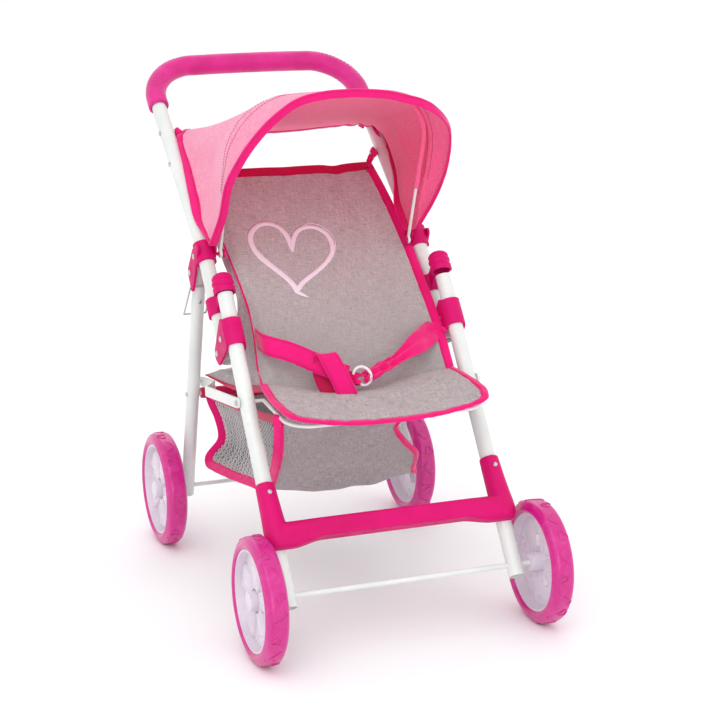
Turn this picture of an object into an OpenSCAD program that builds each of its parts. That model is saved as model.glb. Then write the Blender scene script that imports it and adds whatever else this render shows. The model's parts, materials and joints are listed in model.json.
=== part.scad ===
// Folding doll stroller: two-part tube frame, sling seat, hood, basket and four wheels.
// +X is to the left hand of whoever pushes, +Y points to the push handle, +Z is up.
// The origin is on the floor, under the middle of the whole stroller.

/* [Wheels] */
// Outer diameter of every wheel
wheel_d = 132; // [124:1:136]
// Width of the tyre
tyre_w = 25; // [20:1:26]
// Radial thickness of the tyre
tyre_t = 13; // [10:1:14]
// Distance between the middles of a left and a right wheel
track_w = 312; // [306:1:320]
// Distance between the front and the rear axle
wheel_base = 372; // [366:1:376]
// Number of broad spokes in a wheel disc
spokes = 5; // [4:1:6]

/* [Frame tubes] */
// Distance between the middles of the left and right side tubes
frame_w = 254; // [250:1:258]
// Diameter of the front leg and handle tubes
tube_d = 17; // [15:0.5:17.5]
// Diameter of the rear leg tubes
rear_tube_d = 15; // [13:0.5:16]
// Wall thickness of every tube
tube_wall = 1; // [0.8:0.1:1.5]
// Lean of the front legs from upright, in degrees
leg_lean = 36.6; // [36:0.2:37.4]
// Length of a front leg above the front axle
leg_len = 338; // [334:1:340]
// Diameter of the front axle
front_axle_d = 6; // [5:0.5:7]
// Diameter of the rear axle
rear_axle_d = 5; // [4:0.5:6]

/* [Handle] */
// Lean of the lower handle tubes from upright, in degrees
handle_lean = 40.7; // [40:0.1:41.4]
// Length of the lower handle tubes, from the fold pivot to the bend
lower_len = 124; // [122:1:126]
// Lean of the upper handle arms from upright, in degrees
arm_lean = 52.6; // [52:0.2:53.4]
// Distance from the bend to the middle of the push bar
arm_len = 293; // [285:1:300]
// Radius of the corners beside the push bar
corner_r = 46; // [40:1:50]
// Outer diameter of the foam grip
grip_d = 23; // [21:0.5:24]

/* [Seat and hood] */
// Width of the sling seat
seat_w = 216; // [206:1:218]
// Thickness of the seat fabric with its padding
seat_t = 4; // [3:0.5:5]
// Distance from the hood pivot to the top of the hood wire
hood_wire_h = 190; // [185:1:195]
// Width of the hood wire's loop
hood_wire_w = 227; // [224:1:227]
// Thickness of the hood fabric in this model
cloth_t = 1.8; // [1.6:0.1:2.4]

/* [Hidden] */
$fn = 48;

// Colours
tube_white = [0.93, 0.94, 0.93];
plastic_pink = [0.87, 0.1, 0.42];
grip_pink = [0.8, 0.15, 0.53];
tyre_pink = [0.85, 0.2, 0.6];
disc_white = [0.9, 0.87, 0.91];
cloth_grey = [0.7, 0.67, 0.67];
cloth_pink = [0.96, 0.65, 0.78];
strap_pink = [0.92, 0.0, 0.47];
steel = [0.75, 0.75, 0.76];

// Fits
play = 0.4;
running = 0.05;
snug = 0.02;
eps = 0.01;

// Points of the side view are [y, z]. back() leans a unit step from upright, across() is square to it.
function back(a) = [sin(a), cos(a)];
function across(a) = [cos(a), -sin(a)];
function lean_of(p, q) = atan2(q[0] - p[0], q[1] - p[1]);
function span(p, q) = norm(q - p);

wheel_r = wheel_d / 2;
half_w = frame_w / 2;
tube_r = tube_d / 2;
rear_tube_r = rear_tube_d / 2;
// The push bar's rearmost point, counted from the front axle, places the stroller over the origin.
pivot_s = 284;
pivot_p = 35;
pivot_rel = pivot_s * back(leg_lean) + pivot_p * across(leg_lean);
bar_rel = pivot_rel + lower_len * back(handle_lean) + arm_len * back(arm_lean);
front_axle_at = [(wheel_r - bar_rel[0] - grip_d / 2) / 2, wheel_r];
rear_axle_at = front_axle_at + [wheel_base, 0];
fold_pivot = front_axle_at + pivot_rel;
bend = fold_pivot + lower_len * back(handle_lean);
bar_mid = bend + arm_len * back(arm_lean);
leg_top = front_axle_at + leg_len * back(leg_lean);
seat_pivot_s = 213;
seat_pivot = front_axle_at + seat_pivot_s * back(leg_lean);
rear_pivot = bend + [22, -26];
rear_lean = lean_of(rear_axle_at, rear_pivot);
rear_len = span(rear_axle_at, rear_pivot);
function down_rear(s) = rear_pivot - s * back(rear_lean);
cross_rod_at = down_rear(158);
rail_end = down_rear(142.5);
rail_lean = lean_of(seat_pivot, rail_end);
rail_len = span(seat_pivot, rail_end);
hood_pivot = bend - [10, 0];
catch_pivot = bend + [15, -41];
catch_bar = catch_pivot + [31, -38.5];

// Lateral planes, as distances from the middle plane
ear_t = 2.4;
ear_out = half_w + tube_r + play;
ear_in = half_w - tube_r - play - ear_t;
rail_h = 11;
rail_t = 2.5;
rail_out = half_w + tube_r + 0.8;
rail_in = half_w - rear_tube_r - 1.4 - rail_t;

// Places a child drawn along +Z at side-view point p, leaning by a, at distance x from the middle.
module at_side(x, p, a = 0) {
    translate([x, p[0], p[1]])
        rotate([-a, 0, 0])
            children();
}

// A tube between two side-view points.
module side_tube(x, p, q, r, wall = 0) {
    at_side(x, p, lean_of(p, q))
        difference() {
            cylinder(h = span(p, q), r = r);
            if (wall > 0)
                translate([0, 0, -eps])
                    cylinder(h = span(p, q) + 2 * eps, r = r - wall);
        }
}

// A pin across the stroller from x0 to x1.
module pin(x0, x1, p, r) {
    translate([min(x0, x1), p[0], p[1]])
        rotate([0, 90, 0])
            cylinder(h = abs(x1 - x0), r = r);
}

// Mirrors its children to the left when side is -1.
module flip(side) {
    mirror([side < 0 ? 1 : 0, 0, 0])
        children();
}

module both_sides() {
    for (side = [-1, 1])
        flip(side)
            children();
}

// A rivet or screw head lying on an outer face.
module head(x, p, r, h = 1.6) {
    translate([x, p[0], p[1]])
        rotate([0, 90, 0])
            rotate_extrude()
                polygon([[0, 0], [r, 0], [r, h * 0.35], [r * 0.7, h * 0.85], [r * 0.35, h], [0, h]]);
}

// A plate of thickness t from x, its outline the hull of round spots [point, radius].
module plate(x, t, spots) {
    translate([x, 0, 0])
        rotate([90, 0, 90])
            linear_extrude(t)
                hull()
                    for (s = spots)
                        translate(s[0])
                            circle(r = s[1], $fn = 32);
}

// A bow in the XZ plane: two uprights, round corners and a straight top.
// half: half its width, rc: corner radius, top: height of the top, from: where the uprights start.
module bow(half, rc, top, from, r) {
    both_sides() {
        translate([half, 0, from])
            cylinder(h = top - rc - from, r = r);
        translate([half - rc, 0, top - rc])
            rotate([90, 0, 0])
                rotate_extrude(angle = 90, $fn = 96)
                    translate([rc, 0])
                        circle(r = r);
    }
    pin(-half + rc, half - rc, [0, top], r);
}

/* ---------- Front frame ---------- */

module front_leg(side) {
    color(tube_white)
        difference() {
            side_tube(side * half_w, front_axle_at - 13 * back(leg_lean), leg_top, tube_r, tube_wall);
            pin(side * (half_w - 20), side * (half_w + 20), front_axle_at, front_axle_d / 2 + snug);
            pin(side * (half_w - 20), side * (half_w + 20), seat_pivot, wire_r + running);
        }
}

axle_reach = track_w / 2 + 7;

module front_axle() {
    color(tube_white)
        pin(-axle_reach, axle_reach, front_axle_at, front_axle_d / 2);
}

foot_top_s = 117;
foot_low_s = 64;
foot_bar = front_axle_at + 66 * back(leg_lean) - 11 * across(leg_lean);

module footrest() {
    corner = half_w - 8;
    color(plastic_pink)
        difference() {
            union() {
                hull()
                    both_sides() {
                        translate([corner, foot_bar[0], foot_bar[1]])
                            sphere(r = 11, $fn = 32);
                        translate([corner, foot_bar[0] - 1, foot_bar[1] - 3])
                            sphere(r = 9, $fn = 32);
                    }
                both_sides()
                    hull() {
                        at_side(half_w, front_axle_at + foot_top_s * back(leg_lean) - 1.5 * across(leg_lean), leg_lean)
                            translate([0, 0, -2])
                                cylinder(h = 2, r = tube_r + 3, $fn = 32);
                        at_side(half_w, front_axle_at + foot_low_s * back(leg_lean) - 1 * across(leg_lean), leg_lean)
                            sphere(r = tube_r + 4.5, $fn = 32);
                        translate([corner + 2, foot_bar[0], foot_bar[1] - 2])
                            sphere(r = 11, $fn = 32);
                    }
            }
            both_sides()
                at_side(half_w, front_axle_at + 30 * back(leg_lean), leg_lean)
                    cylinder(h = 120, r = tube_r + snug);
        }
}

module footrest_screws() {
    color(steel)
        both_sides()
            at_side(half_w, front_axle_at + 108 * back(leg_lean) - (tube_r + 6.3) * across(leg_lean), leg_lean)
                rotate([90, 0, 0])
                    rotate_extrude()
                        polygon([[0, 0], [2.4, 0], [2.4, 0.6], [1.5, 1.4], [0, 1.6]]);
}

rivet_r = 1.8;
leg_rivet_at = front_axle_at + 291 * back(leg_lean) + 11.6 * across(leg_lean);

// Clamps the front leg and carries the fold pivot between two ears behind it.
module pivot_bracket(side) {
    low = front_axle_at + 277 * back(leg_lean);
    high = front_axle_at + 307 * back(leg_lean);
    color(plastic_pink)
        flip(side)
            difference() {
                union() {
                    at_side(half_w, low, leg_lean)
                        cylinder(h = 30, r = tube_r + play + ear_t);
                    for (x = [ear_in, ear_out])
                        plate(x, ear_t, [
                            [high + [1, -3], 5],
                            [low + 4 * across(leg_lean) + [0, 3], 6],
                            [fold_pivot, 9],
                            [fold_pivot - [6, 8], 3.5]]);
                }
                at_side(half_w, low - 20 * back(leg_lean), leg_lean)
                    cylinder(h = 90, r = tube_r + snug);
                pin(half_w - tube_r - play, half_w + tube_r + play, fold_pivot, 20);
                pin(ear_in - 1, ear_out + ear_t + 1, leg_rivet_at, rivet_r + snug);
                pin(ear_in - 1, ear_out + ear_t + 1, fold_pivot, rivet_r + snug);
            }
}

module pivot_rivets() {
    color(steel)
        both_sides()
            for (p = [leg_rivet_at, fold_pivot]) {
                pin(ear_in - 0.5, ear_out + ear_t + eps, p, rivet_r);
                head(ear_out + ear_t, p, 3.4);
                mirror([1, 0, 0])
                    head(-ear_in, p, 3.4);
            }
}

/* ---------- Handle ---------- */

// How much the ball that fills a sharp bend stands out from the tube.
bend_ball = 0.08;

module handle_path(r, from) {
    at_side(0, bend, arm_lean)
        bow(half_w, corner_r, arm_len, from, r);
}

module handle_solid(r, past_pivot) {
    handle_path(r, 0);
    both_sides() {
        side_tube(half_w, fold_pivot - past_pivot * back(handle_lean), bend, r);
        translate([half_w, bend[0], bend[1]])
            sphere(r = r + bend_ball);
    }
}

module handle_tube() {
    color(tube_white)
        difference() {
            handle_solid(tube_r, 11);
            handle_solid(tube_r - tube_wall, 12);
            both_sides()
                pin(half_w - 20, half_w + 20, fold_pivot, rivet_r + running);
        }
}

grip_start = 229;

module handle_grip() {
    color(grip_pink)
        difference() {
            handle_path(grip_d / 2, grip_start);
            handle_path(tube_r + snug, grip_start - 5);
        }
}

// Clamps the handle at its bend; its ears carry the rear leg, and the safety catch below it.
module hood_bracket(side) {
    low = bend - 13 * back(handle_lean);
    color(plastic_pink)
        flip(side)
            difference() {
                union() {
                    at_side(half_w, low, handle_lean)
                        cylinder(h = 24, r = tube_r + play + ear_t);
                    for (x = [ear_in, ear_out])
                        plate(x, ear_t, [
                            [bend + [-6, 6], 5],
                            [bend + [4, -4], 9],
                            [rear_pivot, 8],
                            [catch_pivot, 5]]);
                }
                handle_solid(tube_r + snug, 12);
                pin(half_w - tube_r - play, half_w + tube_r + play, rear_pivot + [1, -2], 21.5);
                pin(ear_in - 1, ear_out + ear_t + 1, rear_pivot, rivet_r + snug);
                pin(ear_in - 1, ear_out + ear_t + 1, catch_pivot, catch_r + running);
            }
}

bracket_screw_at = bend + [4, -4];

module bracket_rivets() {
    color(steel)
        both_sides() {
            pin(ear_in - 0.5, ear_out + ear_t + eps, rear_pivot, rivet_r);
            for (p = [rear_pivot, bracket_screw_at])
                head(ear_out + ear_t, p, 3.4);
            mirror([1, 0, 0])
                head(-ear_in, rear_pivot, 3.4);
        }
}

seat_clip_at = bend + 136 * back(arm_lean);
hood_clip_at = bend + 185 * back(arm_lean);
clip_x = half_w - tube_r - 4.5;

module clips(p) {
    color(strap_pink)
        both_sides()
            pin(clip_x, half_w - tube_r - 0.2, p, 6);
}

module seat_clips() {
    clips(seat_clip_at);
}

module hood_clips() {
    clips(hood_clip_at);
}

module arm_screws() {
    color(steel)
        both_sides()
            for (p = [seat_clip_at, hood_clip_at])
                head(half_w + tube_r, p, 3);
}

wire_r = 2;
hood_wire_r = 1.8;
hood_half = hood_wire_w / 2 - hood_wire_r;

// Small pins on the inner ears that the hood wire turns on.
module hood_pivots() {
    color(plastic_pink)
        both_sides() {
            pin(hood_half - hood_wire_r - 1, ear_in, hood_pivot, 2);
            pin(hood_half - hood_wire_r - 2.6, hood_half - hood_wire_r - 0.6, hood_pivot, 5);
        }
}

/* ---------- Latches and catches ---------- */

latch_bore = tube_r + 1.3;
latch_wall = 2.3;
latch_h = 24;

// A ribbed cap over the front leg's end, tied to a sleeve that slides on the handle tube.
module latch(side, lift) {
    start = leg_top + lift * back(handle_lean);
    ring_mid = fold_pivot + (54 + lift) * back(handle_lean);
    outer = latch_bore + latch_wall;
    color(plastic_pink)
        flip(side)
            difference() {
                union() {
                    at_side(half_w, start, leg_lean)
                        rotate_extrude()
                            polygon(concat(
                                [[0, 0], [outer, 0], [outer, 6], [outer - 1.1, 7.5], [outer - 1.1, 9],
                                 [outer, 10.5], [outer, 13], [outer - 1.1, 14.5], [outer - 1.1, 15.5]],
                                [for (a = [0:15:75]) [(outer - 0.6) * cos(a), 17 + (latch_h - 17) * sin(a)]],
                                [[0, latch_h]]));
                    at_side(half_w, ring_mid - 10 * back(handle_lean), handle_lean)
                        cylinder(h = 20, r = tube_r + 2.6);
                    plate(half_w - 4, 8, [
                        [start + 12 * back(leg_lean) + 12 * across(leg_lean), 3],
                        [start + 3 * back(leg_lean) + 13.5 * across(leg_lean), 2],
                        [ring_mid + 7 * back(handle_lean) - 9.5 * across(handle_lean), 2],
                        [ring_mid - 7 * back(handle_lean) - 9.5 * across(handle_lean), 2]]);
                }
                at_side(half_w, start - 1 * back(leg_lean), leg_lean)
                    cylinder(h = 16, r = latch_bore);
                at_side(half_w, ring_mid - 30 * back(handle_lean), handle_lean)
                    cylinder(h = 60, r = tube_r + running);
            }
}

left_lift = 0.5;
right_lift = 6;
catch_r = 1.1;
catch_x = ear_out + ear_t + catch_r + play - half_w;

// A wire loop round the rear leg, hung from the hood bracket.
module catch_loop(side) {
    color(steel)
        translate([side * half_w, 0, 0]) {
            pin(-catch_x, catch_x, catch_pivot, catch_r);
            pin(-catch_x, catch_x, catch_bar, catch_r);
            for (x = [-catch_x, catch_x]) {
                side_tube(x, catch_pivot, catch_bar, catch_r);
                for (p = [catch_pivot, catch_bar])
                    translate([x, p[0], p[1]])
                        sphere(r = catch_r);
            }
        }
}

/* ---------- Rear frame ---------- */

module rear_leg(side) {
    color(tube_white)
        difference() {
            side_tube(side * half_w, down_rear(rear_len + 11), down_rear(-9), rear_tube_r, tube_wall);
            pin(side * (half_w - 20), side * (half_w + 20), rear_pivot, rivet_r + running);
            pin(side * (half_w - 20), side * (half_w + 20), rear_axle_at, rear_axle_d / 2 + snug);
            pin(side * (half_w - 20), side * (half_w + 20), cross_rod_at, rod_r + snug);
        }
}

rod_r = 2.5;

module rear_axle() {
    color(tube_white)
        pin(-axle_reach, axle_reach, rear_axle_at, rear_axle_d / 2);
}

module rear_cross_rod() {
    color(tube_white)
        pin(-half_w - rear_tube_r, half_w + rear_tube_r, cross_rod_at, rod_r);
}

sleeve_half = 106;

module rod_sleeve() {
    color(strap_pink)
        difference() {
            pin(-sleeve_half, sleeve_half, cross_rod_at, rod_r + 2.2);
            pin(-sleeve_half - 1, sleeve_half + 1, cross_rod_at, rod_r + snug);
        }
}

module rear_leg_screws() {
    color(steel)
        both_sides() {
            at_side(half_w, down_rear(34), rear_lean)
                translate([0, -rear_tube_r, 0])
                    rotate([90, 0, 0])
                        rotate_extrude()
                            polygon([[0, 0], [2.6, 0], [2.6, 0.7], [1.6, 1.5], [0, 1.7]]);
            head(half_w + rear_tube_r, cross_rod_at, 2.8);
        }
}

/* ---------- Seat frame ---------- */

jog_start = 120;
jog_end = 160;

// A flat bar that runs outside the front leg and jogs to the inner side of the rear leg.
module seat_rail(side) {
    color(tube_white)
        flip(side)
            difference() {
                at_side(0, seat_pivot, rail_lean)
                    union() {
                        translate([0, -rail_h / 2, 0])
                            rotate([90, 0, 0])
                                mirror([0, 0, 1])
                                    linear_extrude(rail_h)
                                        polygon([
                                            [rail_out, 0], [rail_out + rail_t, 0],
                                            [rail_out + rail_t, jog_start + 1], [rail_in + rail_t, jog_end + 1],
                                            [rail_in + rail_t, rail_len], [rail_in, rail_len],
                                            [rail_in, jog_end], [rail_out, jog_start]]);
                        pin(rail_out, rail_out + rail_t, [0, 0], rail_h / 2);
                        pin(rail_in, rail_in + rail_t, [0, rail_len], rail_h / 2);
                    }
                pin(rail_out - 1, rail_out + rail_t + 1, seat_pivot, wire_r + snug);
                pin(rail_in - 1, rail_in + rail_t + 1, rail_end, rivet_r + snug);
            }
}

module rail_rivets() {
    color(steel)
        both_sides() {
            head(rail_out + rail_t + 0.6, seat_pivot, 3.2);
            pin(rail_in, rail_in + rail_t + 0.5, rail_end, rivet_r);
            mirror([1, 0, 0])
                head(-rail_in, rail_end, 3.2);
        }
}

wire_half = 109;
wire_lean = -93;
wire_len = 92;

// One bent wire: its two ends are the seat pivots, its loop carries the front of the seat.
module seat_wire() {
    color(tube_white) {
        both_sides() {
            pin(wire_half, rail_out + rail_t + 0.6, seat_pivot, wire_r);
            translate([wire_half, seat_pivot[0], seat_pivot[1]])
                sphere(r = wire_r + bend_ball);
        }
        at_side(0, seat_pivot, wire_lean)
            bow(wire_half, 26, wire_len, 0, wire_r);
    }
}

seat_front = seat_pivot + [-99, 5];
seat_rear = seat_pivot + [-2, 16];
seat_lean = lean_of(seat_rear, seat_front);
seat_len = span(seat_rear, seat_front);

// The sling's bottom: a padded panel with a bulging front edge.
module seat_pad() {
    color(cloth_grey)
        at_side(0, seat_rear, seat_lean)
            rotate([90, 0, 0])
                translate([0, 0, -seat_t / 2])
                    linear_extrude(seat_t)
                        union() {
                            translate([-seat_w / 2, 0])
                                square([seat_w, seat_len - 28]);
                            translate([-seat_w / 2 + 22, 0])
                                square([seat_w - 44, seat_len - 6]);
                            for (x = [-1, 1])
                                translate([x * (seat_w / 2 - 22), seat_len - 28])
                                    circle(r = 22);
                        }
}

crotch_w = 26;

// The strap that comes up between a doll's legs, lying on the seat.
module crotch_strap() {
    color(strap_pink)
        at_side(0, seat_rear, seat_lean)
            translate([-4 - crotch_w / 2, seat_t / 2 + 0.3, 14])
                cube([crotch_w, 1.8, 52]);
}

back_top = bend + 111 * back(arm_lean) + [14, 4];
back_low = seat_rear + [9, 10];
back_lean = lean_of(back_low, back_top);
back_len = span(back_low, back_top);

// The sling's back: a panel from the seat's rear edge up to the arms.
module seat_back() {
    color(cloth_grey)
        at_side(0, back_low, back_lean)
            translate([0, seat_t / 2, 0])
                rotate([90, 0, 0])
                    linear_extrude(seat_t)
                        polygon([
                            [-seat_w / 2 + 2, 0], [seat_w / 2 - 2, 0],
                            [seat_w / 2 - 8, back_len], [-seat_w / 2 + 8, back_len]]);
}

belt_w = 24;

// The lap belt, lying across the foot of the back.
module lap_belt() {
    color(strap_pink)
        at_side(0, back_low, back_lean)
            translate([-seat_w / 2 + 4, -seat_t / 2 - 2.1, 12])
                cube([seat_w - 8, 1.8, belt_w]);
}

module belt_ring() {
    color(disc_white)
        at_side(0, back_low + 24 * back(back_lean) - (seat_t / 2 + 3.9) * across(back_lean), back_lean)
            translate([18, 0, 0])
                rotate([90, 0, 0])
                    rotate_extrude()
                        translate([9, 0])
                            circle(r = 1.5);
}

/* ---------- Basket ---------- */

basket_pts = [
    [110, seat_pivot + [-58, -9]], [86, seat_pivot + [40, -107]],
    [102, cross_rod_at + [-1, -84]], [104, cross_rod_at + [-9, -2]]];

// The hull of the basket's corners, drawn in by t and raised by lift.
module basket_hull(t, lift) {
    hull()
        both_sides()
            for (i = [0:3]) {
                p = basket_pts[i];
                fore = i < 2 ? t * 1.5 : -t;
                floor_up = (i == 1 || i == 2) ? t : lift;
                translate([p[0] - t - 0.5, p[1][0] + fore, p[1][1] + floor_up])
                    cube([0.5, 0.5, 0.5]);
            }
}

module basket() {
    color(cloth_grey)
        difference() {
            basket_hull(0, 0);
            basket_hull(2, 6);
        }
}

/* ---------- Hood ---------- */

hood_rest = -20;
eye_t = 2.8;

// The wire that holds the hood up, turning on two eyes.
module hood_wire() {
    color(tube_white)
        difference() {
            union() {
                at_side(0, hood_pivot, hood_rest)
                    bow(hood_half, 62, hood_wire_h, 3, hood_wire_r);
                both_sides()
                    pin(hood_half - eye_t / 2, hood_half + eye_t / 2, hood_pivot, 4.6);
            }
            both_sides()
                pin(hood_half - 10, hood_half + 10, hood_pivot, 2 + running);
        }
}

hood_flat_at = 16.8;
hood_flat_h = hood_wire_h * cos(hood_rest - hood_flat_at) + hood_wire_r + cloth_t + 0.4;
brim_at = -34;
rear_at = 50;
hood_steps = 14;
hood_sides = 30;
hood_corner = 62;
hem_from = 32;

// Height of the hood above its pivot at lean a: flat to the wire, then out over the brim.
function hood_top(a) = a > hood_rest
    ? hood_flat_h / cos(a - hood_flat_at)
    : hood_flat_h / cos(hood_rest - hood_flat_at) + (hood_rest - a) * 2.3;

// Half of the hood's width at lean a: widest at the brim.
function hood_wide(a) = 118 + max(0, hood_rest - a) * 0.7;

// One point of the hood at lean a and position u from 0 (left) to 1 (right), drawn in by t.
function hood_point(a, u, t) =
    let (w = hood_wide(a) - t, h = hood_top(a) - t, rc = hood_corner - t,
         side = u < 0.5 ? -1 : 1, v = 1 - abs(2 * u - 1),
         rise = h - rc - hem_from, turn = rc * PI / 2, flat = w - rc, d = v * (rise + turn + flat),
         q = 90 * min(1, max(0, (d - rise) / turn)),
         x = d < rise + turn ? w - rc + rc * cos(q) : w - rc - (d - rise - turn),
         r = d < rise ? hem_from + d : h - rc + rc * sin(q))
    [side * x, hood_pivot[0] + r * sin(a), hood_pivot[1] + r * cos(a)];

// One sheet from the rear edge on the arms, over the wire, to the brim.
module hood_cover() {
    n = hood_sides + 1;
    outer = [for (i = [0:hood_steps]) for (j = [0:hood_sides])
        hood_point(rear_at + (brim_at - rear_at) * i / hood_steps, j / hood_sides, 0)];
    inner = [for (i = [0:hood_steps]) for (j = [0:hood_sides])
        hood_point(rear_at + (brim_at - rear_at) * i / hood_steps, j / hood_sides, cloth_t)];
    m = len(outer);
    skin = [for (i = [0:hood_steps - 1]) for (j = [0:hood_sides - 1])
        let (a = i * n + j) each [[a, a + 1, a + n + 1], [a, a + n + 1, a + n]]];
    lining = [for (f = skin) [f[2] + m, f[1] + m, f[0] + m]];
    ends = [for (j = [0:hood_sides - 1]) for (row = [0, hood_steps])
        let (a = row * n + j, f = [[a, a + m, a + m + 1], [a, a + m + 1, a + 1]])
        each row == 0 ? f : [[f[0][2], f[0][1], f[0][0]], [f[1][2], f[1][1], f[1][0]]]];
    hems = [for (i = [0:hood_steps - 1]) for (col = [0, hood_sides])
        let (a = i * n + col, f = [[a, a + n, a + n + m], [a, a + n + m, a + m]])
        each col == 0 ? f : [[f[0][2], f[0][1], f[0][0]], [f[1][2], f[1][1], f[1][0]]]];
    color(cloth_pink)
        polyhedron(concat(outer, inner), concat(skin, lining, ends, hems));
}

/* ---------- Wheels ---------- */

rim_r = wheel_r - tyre_t;

module wheel_tyre(side, p) {
    w = tyre_w / 2;
    color(tyre_pink)
        translate([side * track_w / 2, p[0], p[1]])
            rotate([0, 90, 0])
                rotate_extrude($fn = 96)
                    polygon([
                        [rim_r + snug, -w + 3], [rim_r + 2, -w], [rim_r + 5, -w], [wheel_r - 3, -w + 4],
                        [wheel_r - 0.6, -w + 8], [wheel_r, -2], [wheel_r, 2],
                        [wheel_r - 0.6, w - 8], [wheel_r - 3, w - 4], [rim_r + 5, w], [rim_r + 2, w],
                        [rim_r + snug, w - 3]]);
}

hub_r = 11;
web_t = 2;
rim_t = 2.6;

// A dished plastic disc: rim, thin web with slots, broad raised spokes and a closed hub.
module wheel_disc(side, p, axle_r) {
    w = tyre_w / 2 - 3;
    color(disc_white)
        translate([side * track_w / 2, p[0], p[1]])
            flip(side)
                rotate([0, 90, 0])
                    difference() {
                        union() {
                            rotate_extrude($fn = 96)
                                polygon([
                                    [0, -w - 3], [hub_r - 2, -w - 3], [hub_r, 0], [rim_r - rim_t, -3],
                                    [rim_r - rim_t, -w], [rim_r, -w], [rim_r, w], [rim_r - rim_t, w],
                                    [rim_r - rim_t - 1, -3 + web_t], [hub_r + 4, web_t + 1], [hub_r, w - 1],
                                    [hub_r - 4, w + 1], [0, w + 1.6]]);
                            for (k = [0:spokes - 1])
                                rotate([0, 0, k * 360 / spokes + 18])
                                    translate([hub_r - 3, -4, -1])
                                        linear_extrude(w - 1.5)
                                            polygon([
                                                [0, 0], [0, 8], [20, 15], [rim_r - hub_r - 0.6, 19],
                                                [rim_r - hub_r + 1.6, 4], [rim_r - hub_r - 0.6, -11],
                                                [20, -7]]);
                        }
                        for (k = [0:spokes - 1])
                            rotate([0, 0, k * 360 / spokes + 18 + 180 / spokes])
                                translate([hub_r + 6, -1.6, -20])
                                    cube([20, 3.2, 40]);
                        translate([0, 0, -w - 4])
                            cylinder(h = w + 4 + 7.6, r = axle_r + running);
                    }
}

front_leg(-1);  // front_leg_left
front_leg(1);  // front_leg_right
front_axle();
footrest();
footrest_screws();
pivot_bracket(-1);  // pivot_bracket_left
pivot_bracket(1);  // pivot_bracket_right
pivot_rivets();
handle_tube();
handle_grip();
hood_bracket(-1);  // hood_bracket_left
hood_bracket(1);  // hood_bracket_right
bracket_rivets();
seat_clips();
hood_clips();
arm_screws();
hood_pivots();
seat_back();
lap_belt();
belt_ring();
latch(-1, left_lift);  // latch_left
latch(1, right_lift);  // latch_right
catch_loop(-1);  // catch_left
catch_loop(1);  // catch_right
rear_leg(-1);  // rear_leg_left
rear_leg(1);  // rear_leg_right
rear_axle();
rear_cross_rod();
rod_sleeve();
rear_leg_screws();
seat_rail(-1);  // seat_rail_left
seat_rail(1);  // seat_rail_right
rail_rivets();
seat_wire();
seat_pad();
crotch_strap();
basket();
hood_wire();
hood_cover();
wheel_tyre(-1, front_axle_at);  // wheel_front_left_tyre
wheel_disc(-1, front_axle_at, front_axle_d / 2);  // wheel_front_left_disc
wheel_tyre(1, front_axle_at);  // wheel_front_right_tyre
wheel_disc(1, front_axle_at, front_axle_d / 2);  // wheel_front_right_disc
wheel_tyre(-1, rear_axle_at);  // wheel_rear_left_tyre
wheel_disc(-1, rear_axle_at, rear_axle_d / 2);  // wheel_rear_left_disc
wheel_tyre(1, rear_axle_at);  // wheel_rear_right_tyre
wheel_disc(1, rear_axle_at, rear_axle_d / 2);  // wheel_rear_right_disc
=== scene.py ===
"""The looks of a folding doll stroller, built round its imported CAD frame."""

import bpy
import bmesh
import json
import math
import random
import numpy as np
from mathutils import Matrix, Vector, noise


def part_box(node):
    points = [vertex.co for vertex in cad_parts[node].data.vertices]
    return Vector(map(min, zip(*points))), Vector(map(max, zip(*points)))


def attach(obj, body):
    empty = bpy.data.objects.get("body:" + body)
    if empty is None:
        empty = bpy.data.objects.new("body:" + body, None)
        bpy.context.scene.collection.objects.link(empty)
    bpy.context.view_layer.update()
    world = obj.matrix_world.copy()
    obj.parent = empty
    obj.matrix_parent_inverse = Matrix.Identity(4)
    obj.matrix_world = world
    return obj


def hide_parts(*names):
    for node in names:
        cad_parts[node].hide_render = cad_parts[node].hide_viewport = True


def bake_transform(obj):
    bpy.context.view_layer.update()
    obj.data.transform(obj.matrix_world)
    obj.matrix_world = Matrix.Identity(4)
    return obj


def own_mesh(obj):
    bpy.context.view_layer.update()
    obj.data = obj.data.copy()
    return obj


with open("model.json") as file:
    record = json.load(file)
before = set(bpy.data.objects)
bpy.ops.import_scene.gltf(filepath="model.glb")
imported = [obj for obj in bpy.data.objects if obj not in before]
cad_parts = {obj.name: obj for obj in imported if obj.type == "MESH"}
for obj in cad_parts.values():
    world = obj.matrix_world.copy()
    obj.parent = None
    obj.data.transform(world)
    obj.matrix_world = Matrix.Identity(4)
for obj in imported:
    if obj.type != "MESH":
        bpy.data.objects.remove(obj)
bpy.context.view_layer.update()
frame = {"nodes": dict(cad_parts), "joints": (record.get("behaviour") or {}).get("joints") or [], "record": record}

MM = 0.001
random.seed(7)
joints = {j["name"]: j for j in frame["joints"]}


def joint_point(name):
    """A joint's place in millimetres, in the middle plane."""
    p = joints[name]["pos_m"]
    return Vector((0, p[1], p[2])) / MM


def node_mid(name):
    lo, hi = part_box(name)
    return (lo + hi) / 2 / MM


SEAT_PIVOT = joint_point("seat_fold")
HOOD_PIVOT = joint_point("hood_fold")
FRONT_AXLE = joint_point("wheel_front_left_spin")
CROSS_ROD = Vector((0, *node_mid("rear_cross_rod")[1:]))
ARM_X = abs(node_mid("front_leg_left")[0])
ARM_LEAN = math.radians(52.6)
BEND = HOOD_PIVOT + Vector((0, 10, 0))


# ---------------------------------------------------------------- materials
def srgb(r, g, b):
    def one(c):
        c /= 255
        return c / 12.92 if c <= 0.04045 else ((c + 0.055) / 1.055) ** 2.4
    return (one(r), one(g), one(b), 1)


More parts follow.
